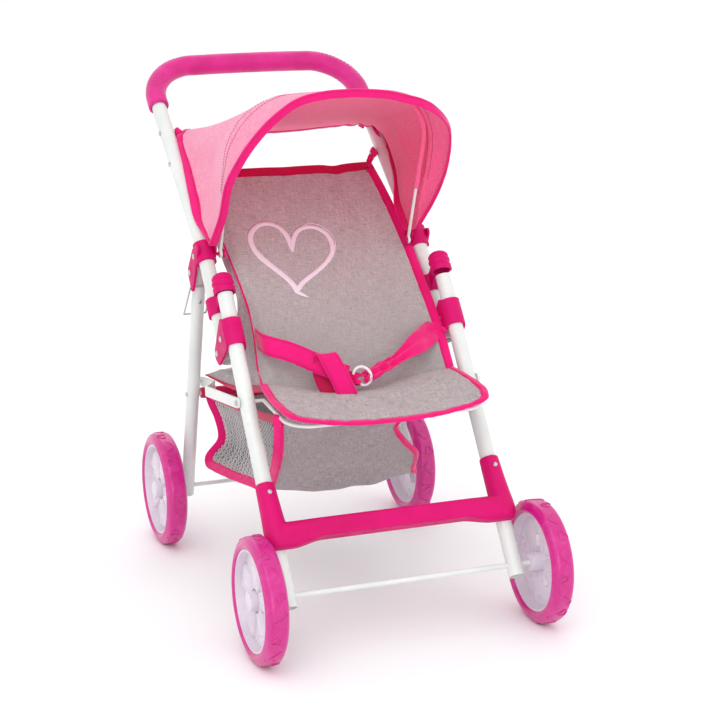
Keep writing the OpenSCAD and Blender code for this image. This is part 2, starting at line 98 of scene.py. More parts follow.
class Nodes:
    """Short names for building a material's nodes."""

    def __init__(self, name, **values):
        self.mat = bpy.data.materials.new(name)
        self.mat.use_nodes = True
        self.tree = self.mat.node_tree
        self.bsdf = self.tree.nodes["Principled BSDF"]
        for key, value in values.items():
            self.bsdf.inputs[key.replace("_", " ")].default_value = value

    def new(self, kind, **props):
        n = self.tree.nodes.new("ShaderNode" + kind)
        for key, value in props.items():
            setattr(n, key, value)
        return n

    def put(self, value, socket):
        if isinstance(value, bpy.types.NodeSocket):
            self.tree.links.new(value, socket)
        else:
            socket.default_value = value

    def math(self, op, a, b=0.0, clamp=False):
        n = self.new("Math", operation=op, use_clamp=clamp)
        self.put(a, n.inputs[0])
        self.put(b, n.inputs[1])
        return n.outputs[0]

    def mix(self, fac, a, b, mode="MIX"):
        n = self.new("Mix", data_type="RGBA", blend_type=mode)
        self.put(fac, n.inputs[0])
        self.put(a, n.inputs[6])
        self.put(b, n.inputs[7])
        return n.outputs[2]

    def ramp(self, fac, *stops):
        n = self.new("ValToRGB")
        cr = n.color_ramp
        while len(cr.elements) < len(stops):
            cr.elements.new(0.5)
        for e, (pos, colour) in zip(cr.elements, stops):
            e.position = pos
            e.color = colour if len(colour) == 4 else (*colour, 1)
        self.put(fac, n.inputs[0])
        return n.outputs[0]

    def coords(self, kind="Object", scale=(1, 1, 1)):
        c = self.new("TexCoord").outputs[kind]
        m = self.new("Mapping")
        m.inputs["Scale"].default_value = scale
        self.put(c, m.inputs["Vector"])
        return m.outputs[0]

    def noise(self, vector, scale, detail=3.0, rough=0.5, distort=0.0):
        n = self.new("TexNoise")
        self.put(vector, n.inputs["Vector"])
        for key, value in (("Scale", scale), ("Detail", detail), ("Roughness", rough),
                           ("Distortion", distort)):
            n.inputs[key].default_value = value
        return n.outputs[0]

    def span(self, value, a0, a1, b0, b1):
        n = self.new("MapRange")
        self.put(value, n.inputs[0])
        for k, v in enumerate((a0, a1, b0, b1)):
            n.inputs[k + 1].default_value = v
        return n.outputs[0]

    def colour(self, value):
        self.put(value, self.bsdf.inputs["Base Color"])

    def rough(self, value):
        self.put(value, self.bsdf.inputs["Roughness"])

    def bump(self, height, strength, distance=0.0005):
        n = self.new("Bump")
        n.inputs["Strength"].default_value = strength
        n.inputs["Distance"].default_value = distance
        self.put(height, n.inputs["Height"])
        self.put(n.outputs[0], self.bsdf.inputs["Normal"])


def painted(name, base, dark):
    """Powder-coated tube: faint orange peel and slightly uneven gloss."""
    n = Nodes(name, Coat_Weight=0.35, Coat_Roughness=0.12, Specular_IOR_Level=0.5)
    at = n.coords()
    wide = n.noise(at, 18, 4)
    fine = n.noise(at, 700, 2)
    n.colour(n.mix(n.span(wide, 0.35, 0.7, 0, 1), base, dark))
    n.rough(n.span(wide, 0.3, 0.7, 0.24, 0.36))
    n.bump(fine, 0.06, 0.0004)
    return n.mat


def moulded(name, base, dark, rough=0.38, grain=900, coat=0.1, shine=0.5):
    """Moulded plastic: fine spark texture, a little flow marking."""
    n = Nodes(name, Coat_Weight=coat, Coat_Roughness=0.25, Subsurface_Weight=0.06, Specular_IOR_Level=shine)
    n.bsdf.inputs["Subsurface Radius"].default_value = (0.004, 0.002, 0.002)
    at = n.coords()
    flow = n.noise(at, 22, 4, 0.55, 0.6)
    n.colour(n.mix(n.span(flow, 0.3, 0.75, 0, 1), base, dark))
    n.rough(n.span(n.noise(at, 60, 3), 0.3, 0.7, rough - 0.06, rough + 0.08))
    n.bump(n.noise(at, grain, 3, 0.6), 0.14, 0.0003)
    return n.mat


def foam(name, base, dark):
    """Skinned foam: fine cells and a soft sheen."""
    n = Nodes(name, Sheen_Weight=0.35, Sheen_Roughness=0.4)
    at = n.coords()
    cells = n.new("TexVoronoi")
    n.put(at, cells.inputs["Vector"])
    cells.inputs["Scale"].default_value = 1300
    patch = n.noise(at, 45, 4)
    n.colour(n.mix(n.span(patch, 0.3, 0.75, 0, 1), base, dark))
    n.rough(n.span(patch, 0.3, 0.7, 0.5, 0.68))
    n.bump(n.mix(0.5, cells.outputs[0], n.noise(at, 260, 4)), 0.3, 0.0005)
    return n.mat


def tyre_stuff(name, base, pale, deep):
    """Glossy soft plastic with pale marbling."""
    n = Nodes(name, Coat_Weight=0.35, Coat_Roughness=0.16, Subsurface_Weight=0.1)
    n.bsdf.inputs["Subsurface Radius"].default_value = (0.006, 0.002, 0.004)
    at = n.coords()
    swirl = n.noise(at, 34, 5, 0.6, 2.4)
    cloud = n.noise(at, 14, 3, 0.5, 0.8)
    c = n.mix(n.span(swirl, 0.5, 0.72, 0, 0.55), base, pale)
    c = n.mix(n.span(cloud, 0.5, 0.8, 0, 0.5), c, deep)
    n.colour(c)
    n.rough(n.span(swirl, 0.3, 0.7, 0.26, 0.4))
    n.bump(n.noise(at, 240, 3), 0.08, 0.0005)
    return n.mat


def cloth(name, mid, light, dark, pitch=0.0011, slub=1.0, sheen=0.25, falloff=0.0):
    """Plain-woven melange cloth. The map's unit is a metre on the flat cloth."""
    n = Nodes(name, Sheen_Weight=sheen, Sheen_Roughness=0.5, Specular_IOR_Level=0.25)
    uv = n.new("TexCoord").outputs["UV"]
    parts = n.new("SeparateXYZ")
    n.put(uv, parts.inputs[0])
    u, v = parts.outputs[0], parts.outputs[1]

    def streaks(su, sv, scale):
        m = n.new("Mapping")
        m.inputs["Scale"].default_value = (su, sv, 1)
        n.put(uv, m.inputs["Vector"])
        return n.noise(m.outputs[0], scale, 3, 0.65)

    warp = streaks(1, 0.09, 900)
    weft = streaks(0.09, 1, 900)
    fleck = n.noise(uv, 950, 2, 0.6)
    tone = n.math("ADD", n.math("MULTIPLY", warp, 0.5), n.math("MULTIPLY", weft, 0.5))
    tone = n.math("ADD", n.math("MULTIPLY", tone, 0.7), n.math("MULTIPLY", fleck, 0.3))
    spread = 0.11 / slub
    c = n.ramp(n.span(tone, 0.5 - spread, 0.5 + spread, 0, 1), (0.0, dark), (0.5, mid), (1.0, light))
    # painted shade: with falloff set, the colour darkens towards the sheet's low edge, within its first 0.24 m of V
    if falloff:
        c = n.mix(n.span(v, 0.02, 0.24, falloff, 0), c, dark)
    n.colour(n.mix(n.span(n.noise(uv, 14, 3), 0.35, 0.7, 0, 0.16), c, dark))
    k = 2 * math.pi / pitch
    over = n.math("MULTIPLY", n.math("SINE", n.math("MULTIPLY", u, k)),
                  n.math("SINE", n.math("MULTIPLY", v, k)))
    height = n.math("ADD", n.math("MULTIPLY", over, 0.35), tone)
    n.rough(n.span(tone, 0.35, 0.65, 0.78, 0.95))
    n.bump(height, 0.55, 0.00035)
    return n.mat


def tape(name, base, dark, pitch=0.0012, sheen=0.3):
    """Woven binding tape or webbing, ribbed across its length (the map's U)."""
    n = Nodes(name, Sheen_Weight=sheen, Sheen_Roughness=0.4, Specular_IOR_Level=0.3)
    uv = n.new("TexCoord").outputs["UV"]
    parts = n.new("SeparateXYZ")
    n.put(uv, parts.inputs[0])
    k = 2 * math.pi / pitch
    ribs = n.math("SINE", n.math("MULTIPLY", parts.outputs[0], k))
    twill = n.math("SINE", n.math("MULTIPLY", n.math("ADD", parts.outputs[0], parts.outputs[1]), k * 0.8))
    grain = n.noise(uv, 1200, 3)
    wide = n.noise(uv, 45, 3)
    c = n.mix(n.span(grain, 0.35, 0.7, 0, 0.35), base, dark)
    n.colour(n.mix(n.span(wide, 0.4, 0.75, 0, 0.35), c, dark))
    n.rough(n.span(grain, 0.3, 0.7, 0.62, 0.85))
    n.bump(n.math("ADD", n.math("MULTIPLY", ribs, 0.3), n.math("ADD", n.math("MULTIPLY", twill, 0.2),
                                                               grain)), 0.4, 0.0003)
    return n.mat


def metal(name, base, rough=0.28):
    n = Nodes(name, Metallic=1.0)
    at = n.coords("Object", (1, 1, 9))
    brushed = n.noise(at, 500, 3)
    n.colour(n.mix(n.span(brushed, 0.3, 0.7, 0, 1), base, tuple(c * 0.8 for c in base[:3]) + (1,)))
    n.rough(n.span(brushed, 0.3, 0.7, rough - 0.08, rough + 0.1))
    n.bump(brushed, 0.08, 0.0002)
    return n.mat


def print_ink(name, base, gap):
    """Screen print on woven cloth: the weave shows through thin ink."""
    n = Nodes(name, Sheen_Weight=0.1)
    uv = n.new("TexCoord").outputs["UV"]
    streak = n.noise(uv, 700, 3, 0.6)
    n.colour(n.mix(n.span(streak, 0.5, 0.72, 0, 0.6), base, gap))
    n.rough(n.span(streak, 0.3, 0.7, 0.55, 0.8))
    n.bump(streak, 0.3, 0.0003)
    return n.mat


PINK = srgb(238, 0, 122)
PINK_DARK = srgb(204, 0, 96)
M_TUBE = painted("tube_white_paint", srgb(226, 230, 227), srgb(214, 219, 216))
M_PLASTIC = moulded("pink_moulding", srgb(216, 0, 112), srgb(198, 0, 96), 0.5, coat=0.0, shine=0.2)
M_GRIP = foam("grip_foam_pink", srgb(218, 12, 138), srgb(196, 4, 116))
M_TYRE = tyre_stuff("tyre_soft_plastic", srgb(202, 12, 130), srgb(222, 62, 162), srgb(176, 6, 108))
M_DISC = moulded("disc_plastic", srgb(226, 216, 226), srgb(214, 202, 216), 0.3, 600, 0.25)
M_GREY = cloth("grey_melange", srgb(176, 166, 167), srgb(206, 198, 198), srgb(132, 123, 127))
# a lighter copy of the grey melange, painted light against the hood's shadow; falloff darkens its foot as painted shade
# in the crease behind the seat
M_BACK = cloth("grey_melange_back", srgb(198, 192, 190), srgb(224, 218, 216), srgb(150, 144, 145), falloff=0.7)
# a darker copy of the grey melange: painted shade for the basket under the seat
M_BASKET = cloth("grey_melange_basket", srgb(160, 151, 152), srgb(190, 182, 182), srgb(118, 110, 113))
M_ROSE = cloth("pink_melange", srgb(240, 148, 180), srgb(250, 182, 204), srgb(226, 118, 154), slub=0.8)
# a deeper, more saturated copy of the hood's pink for its inside face: painted shade, with the tint of light coming
# through the thin cloth painted in
M_ROSE_INSIDE_SHADE = cloth("rose_inside_painted_shade", srgb(252, 98, 150), srgb(254, 134, 176), srgb(232, 70, 122), slub=0.8)
M_TAPE = tape("pink_tape", PINK, PINK_DARK)
M_TAPE_DEEP = tape("deep_pink_tape", srgb(208, 0, 80), srgb(178, 0, 62))
M_THREAD = moulded("pink_thread", srgb(176, 0, 76), srgb(150, 0, 62), 0.6)
M_NET = moulded("white_netting", srgb(240, 240, 241), srgb(226, 226, 229), 0.5)
M_STEEL = metal("plated_steel", (0.66, 0.67, 0.68, 1))
M_RING = moulded("white_ring_plastic", srgb(234, 234, 236), srgb(222, 222, 226), 0.25, 500, 0.3)
M_INK = print_ink("pale_print", srgb(244, 234, 244), srgb(220, 208, 218))


# ---------------------------------------------------------------- mesh tools
def build(name, verts, faces, mats, face_mats=None, uvs=None, sharp=None, recalc=True):
    """A smooth-shaded object from points in millimetres. uvs, one a point, are in millimetres too."""
    me = bpy.data.meshes.new(name)
    me.from_pydata([tuple(c * MM for c in v) for v in verts], [], [tuple(f) for f in faces])
    for m in mats:
        me.materials.append(m)
    if face_mats is not None:
        me.polygons.foreach_set("material_index", list(face_mats))
    if uvs is not None:
        layer = me.uv_layers.new(name="UVMap")
        index = np.zeros(len(me.loops), np.int32)
        me.loops.foreach_get("vertex_index", index)
        layer.data.foreach_set("uv", (np.array(uvs, float)[index] * MM).ravel())
    me.polygons.foreach_set("use_smooth", [True] * len(me.polygons))
    if recalc:
        bm = bmesh.new()
        bm.from_mesh(me)
        bmesh.ops.recalc_face_normals(bm, faces=bm.faces)
        bm.to_mesh(me)
        bm.free()
    if sharp:
        me.set_sharp_from_angle(angle=math.radians(sharp))
    me.update()
    o = bpy.data.objects.new(name, me)
    bpy.context.scene.collection.objects.link(o)
    return o


def join(name, parts):
    """One object from several, which are removed."""
    for o in bpy.context.selected_objects:
        o.select_set(False)
    for o in parts:
        o.select_set(True)
    bpy.context.view_layer.objects.active = parts[0]
    if len(parts) > 1:
        bpy.ops.object.join()
    parts[0].name = name
    parts[0].data.name = name
    parts[0].select_set(False)
    return parts[0]


def unit(a):
    n = np.linalg.norm(a, axis=-1, keepdims=True)
    return a / np.maximum(n, 1e-9)


def spline(knots, t):
    """A smooth curve through knots [(t, value...)], each value a number or a point."""
    ts = [k[0] for k in knots]
    ps = [np.array(k[1:], float) for k in knots]
    if t <= ts[0]:
        return ps[0]
    if t >= ts[-1]:
        return ps[-1]
    i = max(k for k in range(len(ts) - 1) if ts[k] <= t)
    h = ts[i + 1] - ts[i]

    def slope(k):
        if k == 0 or k == len(ts) - 1:
            a, b = (0, 1) if k == 0 else (len(ts) - 2, len(ts) - 1)
            return (ps[b] - ps[a]) / (ts[b] - ts[a])
        return (ps[k + 1] - ps[k - 1]) / (ts[k + 1] - ts[k - 1])
    x = (t - ts[i]) / h
    h00, h10 = 2 * x**3 - 3 * x**2 + 1, x**3 - 2 * x**2 + x
    h01, h11 = -2 * x**3 + 3 * x**2, x**3 - x**2
    return h00 * ps[i] + h10 * h * slope(i) + h01 * ps[i + 1] + h11 * h * slope(i + 1)


class Sheet:
    """A sampled cloth surface f(u, v) with u from -1 to 1 across and v from 0 to 1."""

    def __init__(self, f, nu, nv, flip=False):
        self.P = np.array([[f(u, v) for u in np.linspace(-1, 1, nu)] for v in np.linspace(0, 1, nv)], float)
        du, dv = np.gradient(self.P, axis=1), np.gradient(self.P, axis=0)
        n = np.cross(du, dv)
        self.N = unit(n) * (-1 if flip else 1)
        wide = np.linalg.norm(np.diff(self.P, axis=1), axis=2).sum(1).mean()
        long = np.linalg.norm(np.diff(self.P, axis=0), axis=2).sum(0).mean()
        self.size = (wide, long)
        us, vs = np.meshgrid(np.linspace(0, wide, nu), np.linspace(0, long, nv))
        self.UV = np.stack([us, vs], 2)

    def shell(self, name, thick, top, under=None):
        """The cloth as a closed skin of the given thickness."""
        nv, nu = self.P.shape[:2]
        a = (self.P + self.N * thick / 2).reshape(-1, 3)
        b = (self.P - self.N * thick / 2).reshape(-1, 3)
        k = nu * nv
        faces, mats = [], []
        for i in range(nv - 1):
            for j in range(nu - 1):
                q = i * nu + j
                faces += [(q, q + 1, q + nu + 1, q + nu), (q + k, q + nu + k, q + nu + 1 + k, q + 1 + k)]
                mats += [0, 1 if under else 0]
        ring = [j for j in range(nu)] + [i * nu + nu - 1 for i in range(1, nv)]
        ring += [(nv - 1) * nu + j for j in range(nu - 2, -1, -1)] + [i * nu for i in range(nv - 2, 0, -1)]
        for s, t in zip(ring, ring[1:] + ring[:1]):
            faces.append((s, s + k, t + k, t))
            mats.append(0)
        uv = self.UV.reshape(-1, 2)
        return build(name, np.vstack([a, b]), faces, [top] + ([under] if under else []), mats,
                     np.vstack([uv, uv]), 60)

    def edge(self, which):
        """(points, directions into the cloth, normals) along one edge: left, right, low or high."""
        P, N = self.P, self.N
        if which == "left":
            e, i, n = P[:, 0], P[:, 2], N[:, 1]
        elif which == "right":
            e, i, n = P[:, -1], P[:, -3], N[:, -2]
        elif which == "low":
            e, i, n = P[0], P[2], N[1]
        else:
            e, i, n = P[-1], P[-3], N[-2]
        return e, unit(i - e), n


def resample(path, step):
    """Points along a polyline about step apart, and the positions 0 to 1 that they have on it."""
    path = np.array(path, float)
    d = np.r_[0, np.cumsum(np.linalg.norm(np.diff(path, axis=0), axis=1))]
    n = max(3, int(round(d[-1] / step)) + 1)
    at = np.linspace(0, d[-1], n)
    return np.stack([np.interp(at, d, path[:, k]) for k in range(3)], 1), at


def carried(values, path, step):
    """Vectors given along a polyline, taken over to its resampled points."""
    path = np.array(path, float)
    d = np.r_[0, np.cumsum(np.linalg.norm(np.diff(path, axis=0), axis=1))]
    n = max(3, int(round(d[-1] / step)) + 1)
    at = np.linspace(0, d[-1], n)
    return unit(np.stack([np.interp(at, d, np.array(values)[:, k]) for k in range(3)], 1))


def sweep(name, path, across, normal, profile, mat, closed=True, caps=True, wobble=0.0, seed=0, scale=None):
    """A profile of (across, normal) points carried along a path, its U along the path."""
    at = np.r_[0, np.cumsum(np.linalg.norm(np.diff(path, axis=0), axis=1))]
    m = len(profile)
    verts, uvs = [], []
    around = np.r_[0, np.cumsum([math.dist(profile[k], profile[k - 1]) for k in range(1, m)])]
    for i, p in enumerate(path):
        s = 1.0 if scale is None else scale(at[i] / at[-1])
        for k, (a, b) in enumerate(profile):
            w = wobble * noise.noise(Vector((at[i] * 0.12, k * 0.9, seed * 7.3)))
            verts.append(np.array(p) + across[i] * (a * s + w * 0.6) + normal[i] * (b + w))
            uvs.append((at[i], around[k]))
    faces = []
    for i in range(len(path) - 1):
        for k in range(m if closed else m - 1):
            a, b = i * m + k, i * m + (k + 1) % m
            faces.append((a, b, b + m, a + m))
    if caps and closed:
        faces += [tuple(range(m - 1, -1, -1)), tuple(range((len(path) - 1) * m, len(path) * m))]
    return build(name, verts, faces, [mat], None, uvs, 70)


def fold_profile(width, half):
    """A tape folded over a cloth's edge, seen end on: round at the fold, flat on both faces."""
    return [(-1.1, 0), (-0.8, half * 0.75), (0.2, half), (width * 0.45, half * 1.08), (width - 1.2, half),
            (width, half * 0.45), (width, -half * 0.45), (width - 1.2, -half), (width * 0.45, -half * 1.08),
            (0.2, -half), (-0.8, -half * 0.75)]


def binding(name, edge, width, half=1.15, mat=None, step=3.0, wobble=0.35, seed=0, stitched=True,
            trim=(0, 0)):
    """Tape sewn round a cloth's edge, with its line of stitches."""
    path, inward, normal = edge
    if trim != (0, 0):
        sl = slice(trim[0], len(path) - trim[1])
        path, inward, normal = path[sl], inward[sl], normal[sl]
    q, at = resample(path, step)
    a, n = carried(inward, path, step), carried(normal, path, step)
    parts = [sweep(name, q, a, n, fold_profile(width, half), mat or M_TAPE, wobble=wobble, seed=seed)]
    if stitched:
        for side in (1, -1):
            parts.append(stitches(name + "_thread", q + a * (width - 1.9) + n * side * (half + 0.1),
                                  n * side))
    return join(name, parts)


def stitches(name, path, normal, pitch=3.4, length=2.3, r=0.32, mat=None):
    """A row of raised stitches along a path."""
    q, at = resample(path, pitch)
    n = carried(normal, path, pitch)
    t = unit(np.gradient(q, axis=0))
    b = unit(np.cross(t, n))
    verts, faces, uvs = [], [], []
    for i in range(1, len(q) - 1):
        base = len(verts)
        for s, rr in ((-0.5, 0.25), (-0.3, 1.0), (0.3, 1.0), (0.5, 0.25)):
            for c, d in ((1, 0), (0, 1), (-1, 0), (0, -1)):
                verts.append(q[i] + t[i] * s * length + b[i] * c * r * rr * 1.2 + n[i] * (d * r * rr + 0.05))
                uvs.append((s * length, c))
        for ring in range(3):
            for k in range(4):
                a0 = base + ring * 4 + k
                a1 = base + ring * 4 + (k + 1) % 4
                faces.append((a0, a1, a1 + 4, a0 + 4))
        faces += [(base + 3, base + 2, base + 1, base), (base + 12, base + 13, base + 14, base + 15)]
    return build(name, verts, faces, [mat or M_THREAD], None, uvs)


def strap(name, path, side, width, thick=1.5, mat=None, step=2.5, wobble=0.25, seed=0, edges=True):
    """Flat webbing along a path. side gives its width direction at each point of the path."""
    q, at = resample(path, step)
    a = carried(side, path, step)
    t = unit(np.gradient(q, axis=0))
    n = unit(np.cross(t, a))
    a = unit(np.cross(n, t))
    w, h = width / 2, thick / 2
    prof = [(-w, 0), (-w + 0.5, h), (-w * 0.4, h * 0.92), (w * 0.4, h * 0.92), (w - 0.5, h), (w, 0),
            (w - 0.5, -h), (w * 0.4, -h * 0.92), (-w * 0.4, -h * 0.92), (-w + 0.5, -h)]
    parts = [sweep(name, q, a, n, prof, mat or M_TAPE, wobble=wobble, seed=seed)]
    if edges:
        for e in (-1, 1):
            for s in (-1, 1):
                parts.append(stitches(name + "_edge", q + a * e * (w - 2.2) + n * s * (h + 0.05), n * s,
                                      r=0.26))
    return join(name, parts)


def tube(name, path, radius, mat, sides=12, caps=True):
    """A round rod along a path; radius is a number or a function of the position 0 to 1."""
    path = np.array(path, float)
    t = unit(np.gradient(path, axis=0))
    ref = np.array([1.0, 0, 0]) if abs(t[0][0]) < 0.9 else np.array([0, 0, 1.0])
    a = []
    for k in range(len(path)):
        ref = unit(ref - t[k] * (ref @ t[k]))
        a.append(ref.copy())
    a = np.array(a)
    b = np.cross(t, a)
    verts, faces, uvs = [], [], []
    d = np.r_[0, np.cumsum(np.linalg.norm(np.diff(path, axis=0), axis=1))]
    for i, p in enumerate(path):
        r = radius(d[i] / d[-1]) if callable(radius) else radius
        for k in range(sides):
            g = 2 * math.pi * k / sides
            verts.append(p + (a[i] * math.cos(g) + b[i] * math.sin(g)) * r)
            uvs.append((d[i], r * g))
    for i in range(len(path) - 1):
        for k in range(sides):
            s, e = i * sides + k, i * sides + (k + 1) % sides
            faces.append((s, e, e + sides, s + sides))
    if caps:
        faces += [tuple(range(sides - 1, -1, -1)), tuple(range((len(path) - 1) * sides, len(path) * sides))]
    return build(name, verts, faces, [mat], None, uvs, 50)


def lathe(name, profile, mat, turns=96, caps=False):
    """A ring turned about the X axis from (x, radius) points, the last joined to the first."""
    m = len(profile)
    verts = [(x, r * math.cos(g), r * math.sin(g)) for g in (2 * math.pi * i / turns for i in range(turns))
             for x, r in profile]
    faces = []
    for i in range(turns):
        j = (i + 1) % turns
        for k in range(m):
            faces.append((i * m + k, i * m + (k + 1) % m, j * m + (k + 1) % m, j * m + k))
    return build(name, verts, faces, [mat], None, None, 40)


def arm_point(x, along, ahead):
    """A point beside the push arms: along them from the bend, and ahead of their middle line."""
    s, c = math.sin(ARM_LEAN), math.cos(ARM_LEAN)
    return Vector((x, BEND[1] + along * s - ahead * c, BEND[2] + along * c + ahead * s))


def smooth01(x):
    x = min(1, max(0, x))
    return x * x * (3 - 2 * x)


# ---------------------------------------------------------------- carried-over CAD nodes
NODE_LOOKS = {
    M_TUBE: ["front_leg_left", "front_leg_right", "front_axle", "handle_tube", "rear_leg_left",
             "rear_leg_right",
             "rear_axle", "rear_cross_rod", "seat_rail_left", "seat_rail_right", "seat_wire", "hood_wire"],
    M_PLASTIC: ["pivot_bracket_left", "pivot_bracket_right", "hood_bracket_left", "hood_bracket_right",
                "hood_pivots", "latch_left", "latch_right"],
    M_STEEL: ["footrest_screws", "pivot_rivets", "bracket_rivets", "arm_screws", "rear_leg_screws",
              "rail_rivets",
              "catch_left", "catch_right"],
}
for look, names in NODE_LOOKS.items():
    for node in names:
        data = frame["nodes"][node].data
        data.materials.clear()
        data.materials.append(look)


# ---------------------------------------------------------------- wheels
lo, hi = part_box("wheel_front_left_tyre")
WHEEL_R = (hi[2] - lo[2]) / 2 / MM
TYRE_HALF = (hi[0] - lo[0]) / 2 / MM
RIM_R = WHEEL_R - 13


def tyre_radius(x):
    """The tyre's outer radius at x from its middle: a flat tread and round shoulders."""
    s = abs(x) / TYRE_HALF
    return WHEEL_R - 0.25 * s * s - 8.2 * max(0.0, (s - 0.45) / 0.55) ** 2.6


def tyre_point(x, g, lift=0.0):
    r = tyre_radius(x) + lift
    return (x, r * math.cos(g), r * math.sin(g))


def tyre_mesh():
    xs = [TYRE_HALF * math.sin(math.pi / 2 * k / 9) for k in range(-9, 10)]
    prof = [(x, tyre_radius(x)) for x in xs]
    w = TYRE_HALF
    prof += [(w - 0.3, WHEEL_R - 10.4), (w - 1.4, RIM_R + 0.9), (w - 3.2, RIM_R - 0.2),
             (w - 3.6, RIM_R + 0.6),
             (-w + 3.6, RIM_R + 0.6), (-w + 3.2, RIM_R - 0.2), (-w + 1.4, RIM_R + 0.9), (-w + 0.3,
                                                                                         WHEEL_R - 10.4)]
    parts = [lathe("tyre", prof, M_TYRE, 128)]
    rng = random.Random(11)
    count = 9
    for k in range(count):
        g0 = 2 * math.pi * (k + 0.5) / count
        heart = []
        turn, size = rng.uniform(-0.9, 0.9), rng.uniform(0.42, 0.5)
        for i in range(41):
            t = 2 * math.pi * i / 40
            hx, hy = 16 * math.sin(t) ** 3, 13 * math.cos(t) - 5 * math.cos(2 * t) - 2 * math.cos(3 * t) - math.cos(4 * t)
            px = (hx * math.cos(turn) - hy * math.sin(turn)) * size * 0.7
            py = (hx * math.sin(turn) + hy * math.cos(turn)) * size * 0.7
            heart.append(tyre_point(px + (3.0 if k % 2 else -3.0), g0 + py / WHEEL_R, 0.2))
        parts.append(tube("heart", heart[:-1] + heart[:1], 0.75, M_TYRE, 8))
        g1 = g0 + math.pi / count
        swirl = []
        for i in range(31):
            s = i / 30 * 2 - 1
            px = 8.2 * math.sin(s * 2.4 + k) * (0.7 + 0.3 * math.cos(k * 2.1))
            swirl.append(tyre_point(px, g1 + s * 9.5 / WHEEL_R, 0.2))
        parts.append(tube("swirl", swirl, lambda s: 0.8 * math.sin(math.pi * min(1, max(0.02,
                                                                                        s * 0.96 + 0.02))) ** 0.4, M_TYRE, 8))
    return join("tyre_proto", parts)


def disc_mesh():
    """A dished disc as a height field in polar steps: domed hub, five broad stepped spokes, pockets, rim lip."""
    w = TYRE_HALF
    rings, turns = 54, 200
    hub = 10.5
    lip = w - 2.2

    def face(r, g):
        part = (g / (2 * math.pi) * 5) % 1.0
        d = min(part, 1 - part) * 2 * math.pi / 5
        half = (8.2 + 6.5 * smooth01((r - 14) / 32)) / max(r, 1)
        spoke = 1 - smooth01((d - half) / (1.5 / max(r, 1)))
        inner = 1 - smooth01((d - half * 0.55) / (1.1 / max(r, 1)))
        ridge = 1 - smooth01((d - half * 0.13) / (0.9 / max(r, 1)))
        web = 0.4 + 1.1 * smooth01((r - 20) / 30)
        span_in = smooth01((r - hub - 0.5) / 2.0)
        falloff = 1 - smooth01((r - RIM_R + 7.5) / 2.0)
        h = web + spoke * (4.6 - 1.4 * (r - 10) / 40) * falloff
        h += inner * 1.3 * falloff * smooth01((r - 17) / 2) * (1 - smooth01((r - 36) / 2))
        h += ridge * 0.8 * falloff * smooth01((r - 21) / 2) * (1 - smooth01((r - 32) / 2))
        slot = smooth01((r - 15) / 1.2) * (1 - smooth01((r - 29) / 1.2))
        slot *= 1 - smooth01((abs(d - math.pi / 5) * r - 1.3) / 0.7)
        h -= slot * 2.6
        dome = w - 1.2 + 2.6 * math.sqrt(max(0, 1 - (r / hub) ** 2)) if r < hub else 0
        h = dome * (1 - span_in) + h * span_in if r < hub + 3 else h
        rim = smooth01((r - RIM_R + 3.4) / 1.4)
        return h * (1 - rim) + lip * rim
    verts, faces = [], []
    radii = [RIM_R * (0.03 + 0.97 * k / rings) for k in range(rings + 1)]
    for r in radii:
        for j in range(turns):
            g = 2 * math.pi * j / turns
            verts.append((-face(r, g), r * math.cos(g), r * math.sin(g)))
    back0 = len(verts)
    for r in radii:
        for j in range(turns // 2):
            g = 4 * math.pi * j / turns
            rim = smooth01((r - RIM_R + 3.4) / 1.4)
            hubback = 1 - smooth01((r - 9) / 2)
            verts.append(((-1.8) * (1 - rim) * (1 - hubback) + (w - 3.4) * rim + hubback * (w - 1),
                          r * math.cos(g), r * math.sin(g)))
    for i in range(rings):
        for j in range(turns):
            a, b = i * turns + j, i * turns + (j + 1) % turns
            faces.append((a, b, b + turns, a + turns))
    t2 = turns // 2
    for i in range(rings):
        for j in range(t2):
            a, b = back0 + i * t2 + j, back0 + i * t2 + (j + 1) % t2
            faces.append((a, a + t2, b + t2, b))
    faces.append(tuple(range(turns)))
    faces.append(tuple(back0 + j for j in range(t2 - 1, -1, -1)))
    for j in range(turns):
        a, b = rings * turns + j, rings * turns + (j + 1) % turns
        c, d = back0 + rings * t2 + j // 2, back0 + rings * t2 + ((j + 1) // 2) % t2
        faces.append((a, b, d, c) if c != d else (a, b, c))
    return build("disc_proto", verts, faces, [M_DISC], None, None, 35)


tyre_proto, disc_proto = tyre_mesh(), disc_mesh()
WHEEL_TURN = {"front_left": 0.3, "front_right": 1.1, "rear_left": 2.0, "rear_right": 0.8}
for corner, angle in WHEEL_TURN.items():
    mid = node_mid("wheel_%s_tyre" % corner)
    outward = Matrix.Rotation(math.pi, 4, "Z") if "right" in corner else Matrix()
    for proto, kind, what in ((tyre_proto, "tyre", "tyre_pink"), (disc_proto, "disc", "disc_white")):
        data = proto.data.copy()
        data.transform(outward @ Matrix.Rotation(angle, 4, "X"))
        o = bpy.data.objects.new("%s_%s" % (kind, corner), data)
        bpy.context.scene.collection.objects.link(o)
        o.location = Vector(mid) * MM
        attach(o, "wheel_" + corner)
        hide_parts("wheel_%s_%s" % (corner, kind))
for proto in (tyre_proto, disc_proto):
    bpy.data.objects.remove(proto)


# ---------------------------------------------------------------- footrest
LEG_UP = unit(np.array([0, node_mid("front_leg_left")[1] - FRONT_AXLE[1],
                        node_mid("front_leg_left")[2] - FRONT_AXLE[2]]))
LEG_FORE = np.array([0, -LEG_UP[2], LEG_UP[1]])


def leg_point(x, up, fore):
    """A point beside the front legs: up them from the axle, and ahead of their middle line."""
    return np.array([x, FRONT_AXLE[1], FRONT_AXLE[2]]) + LEG_UP * up + LEG_FORE * fore


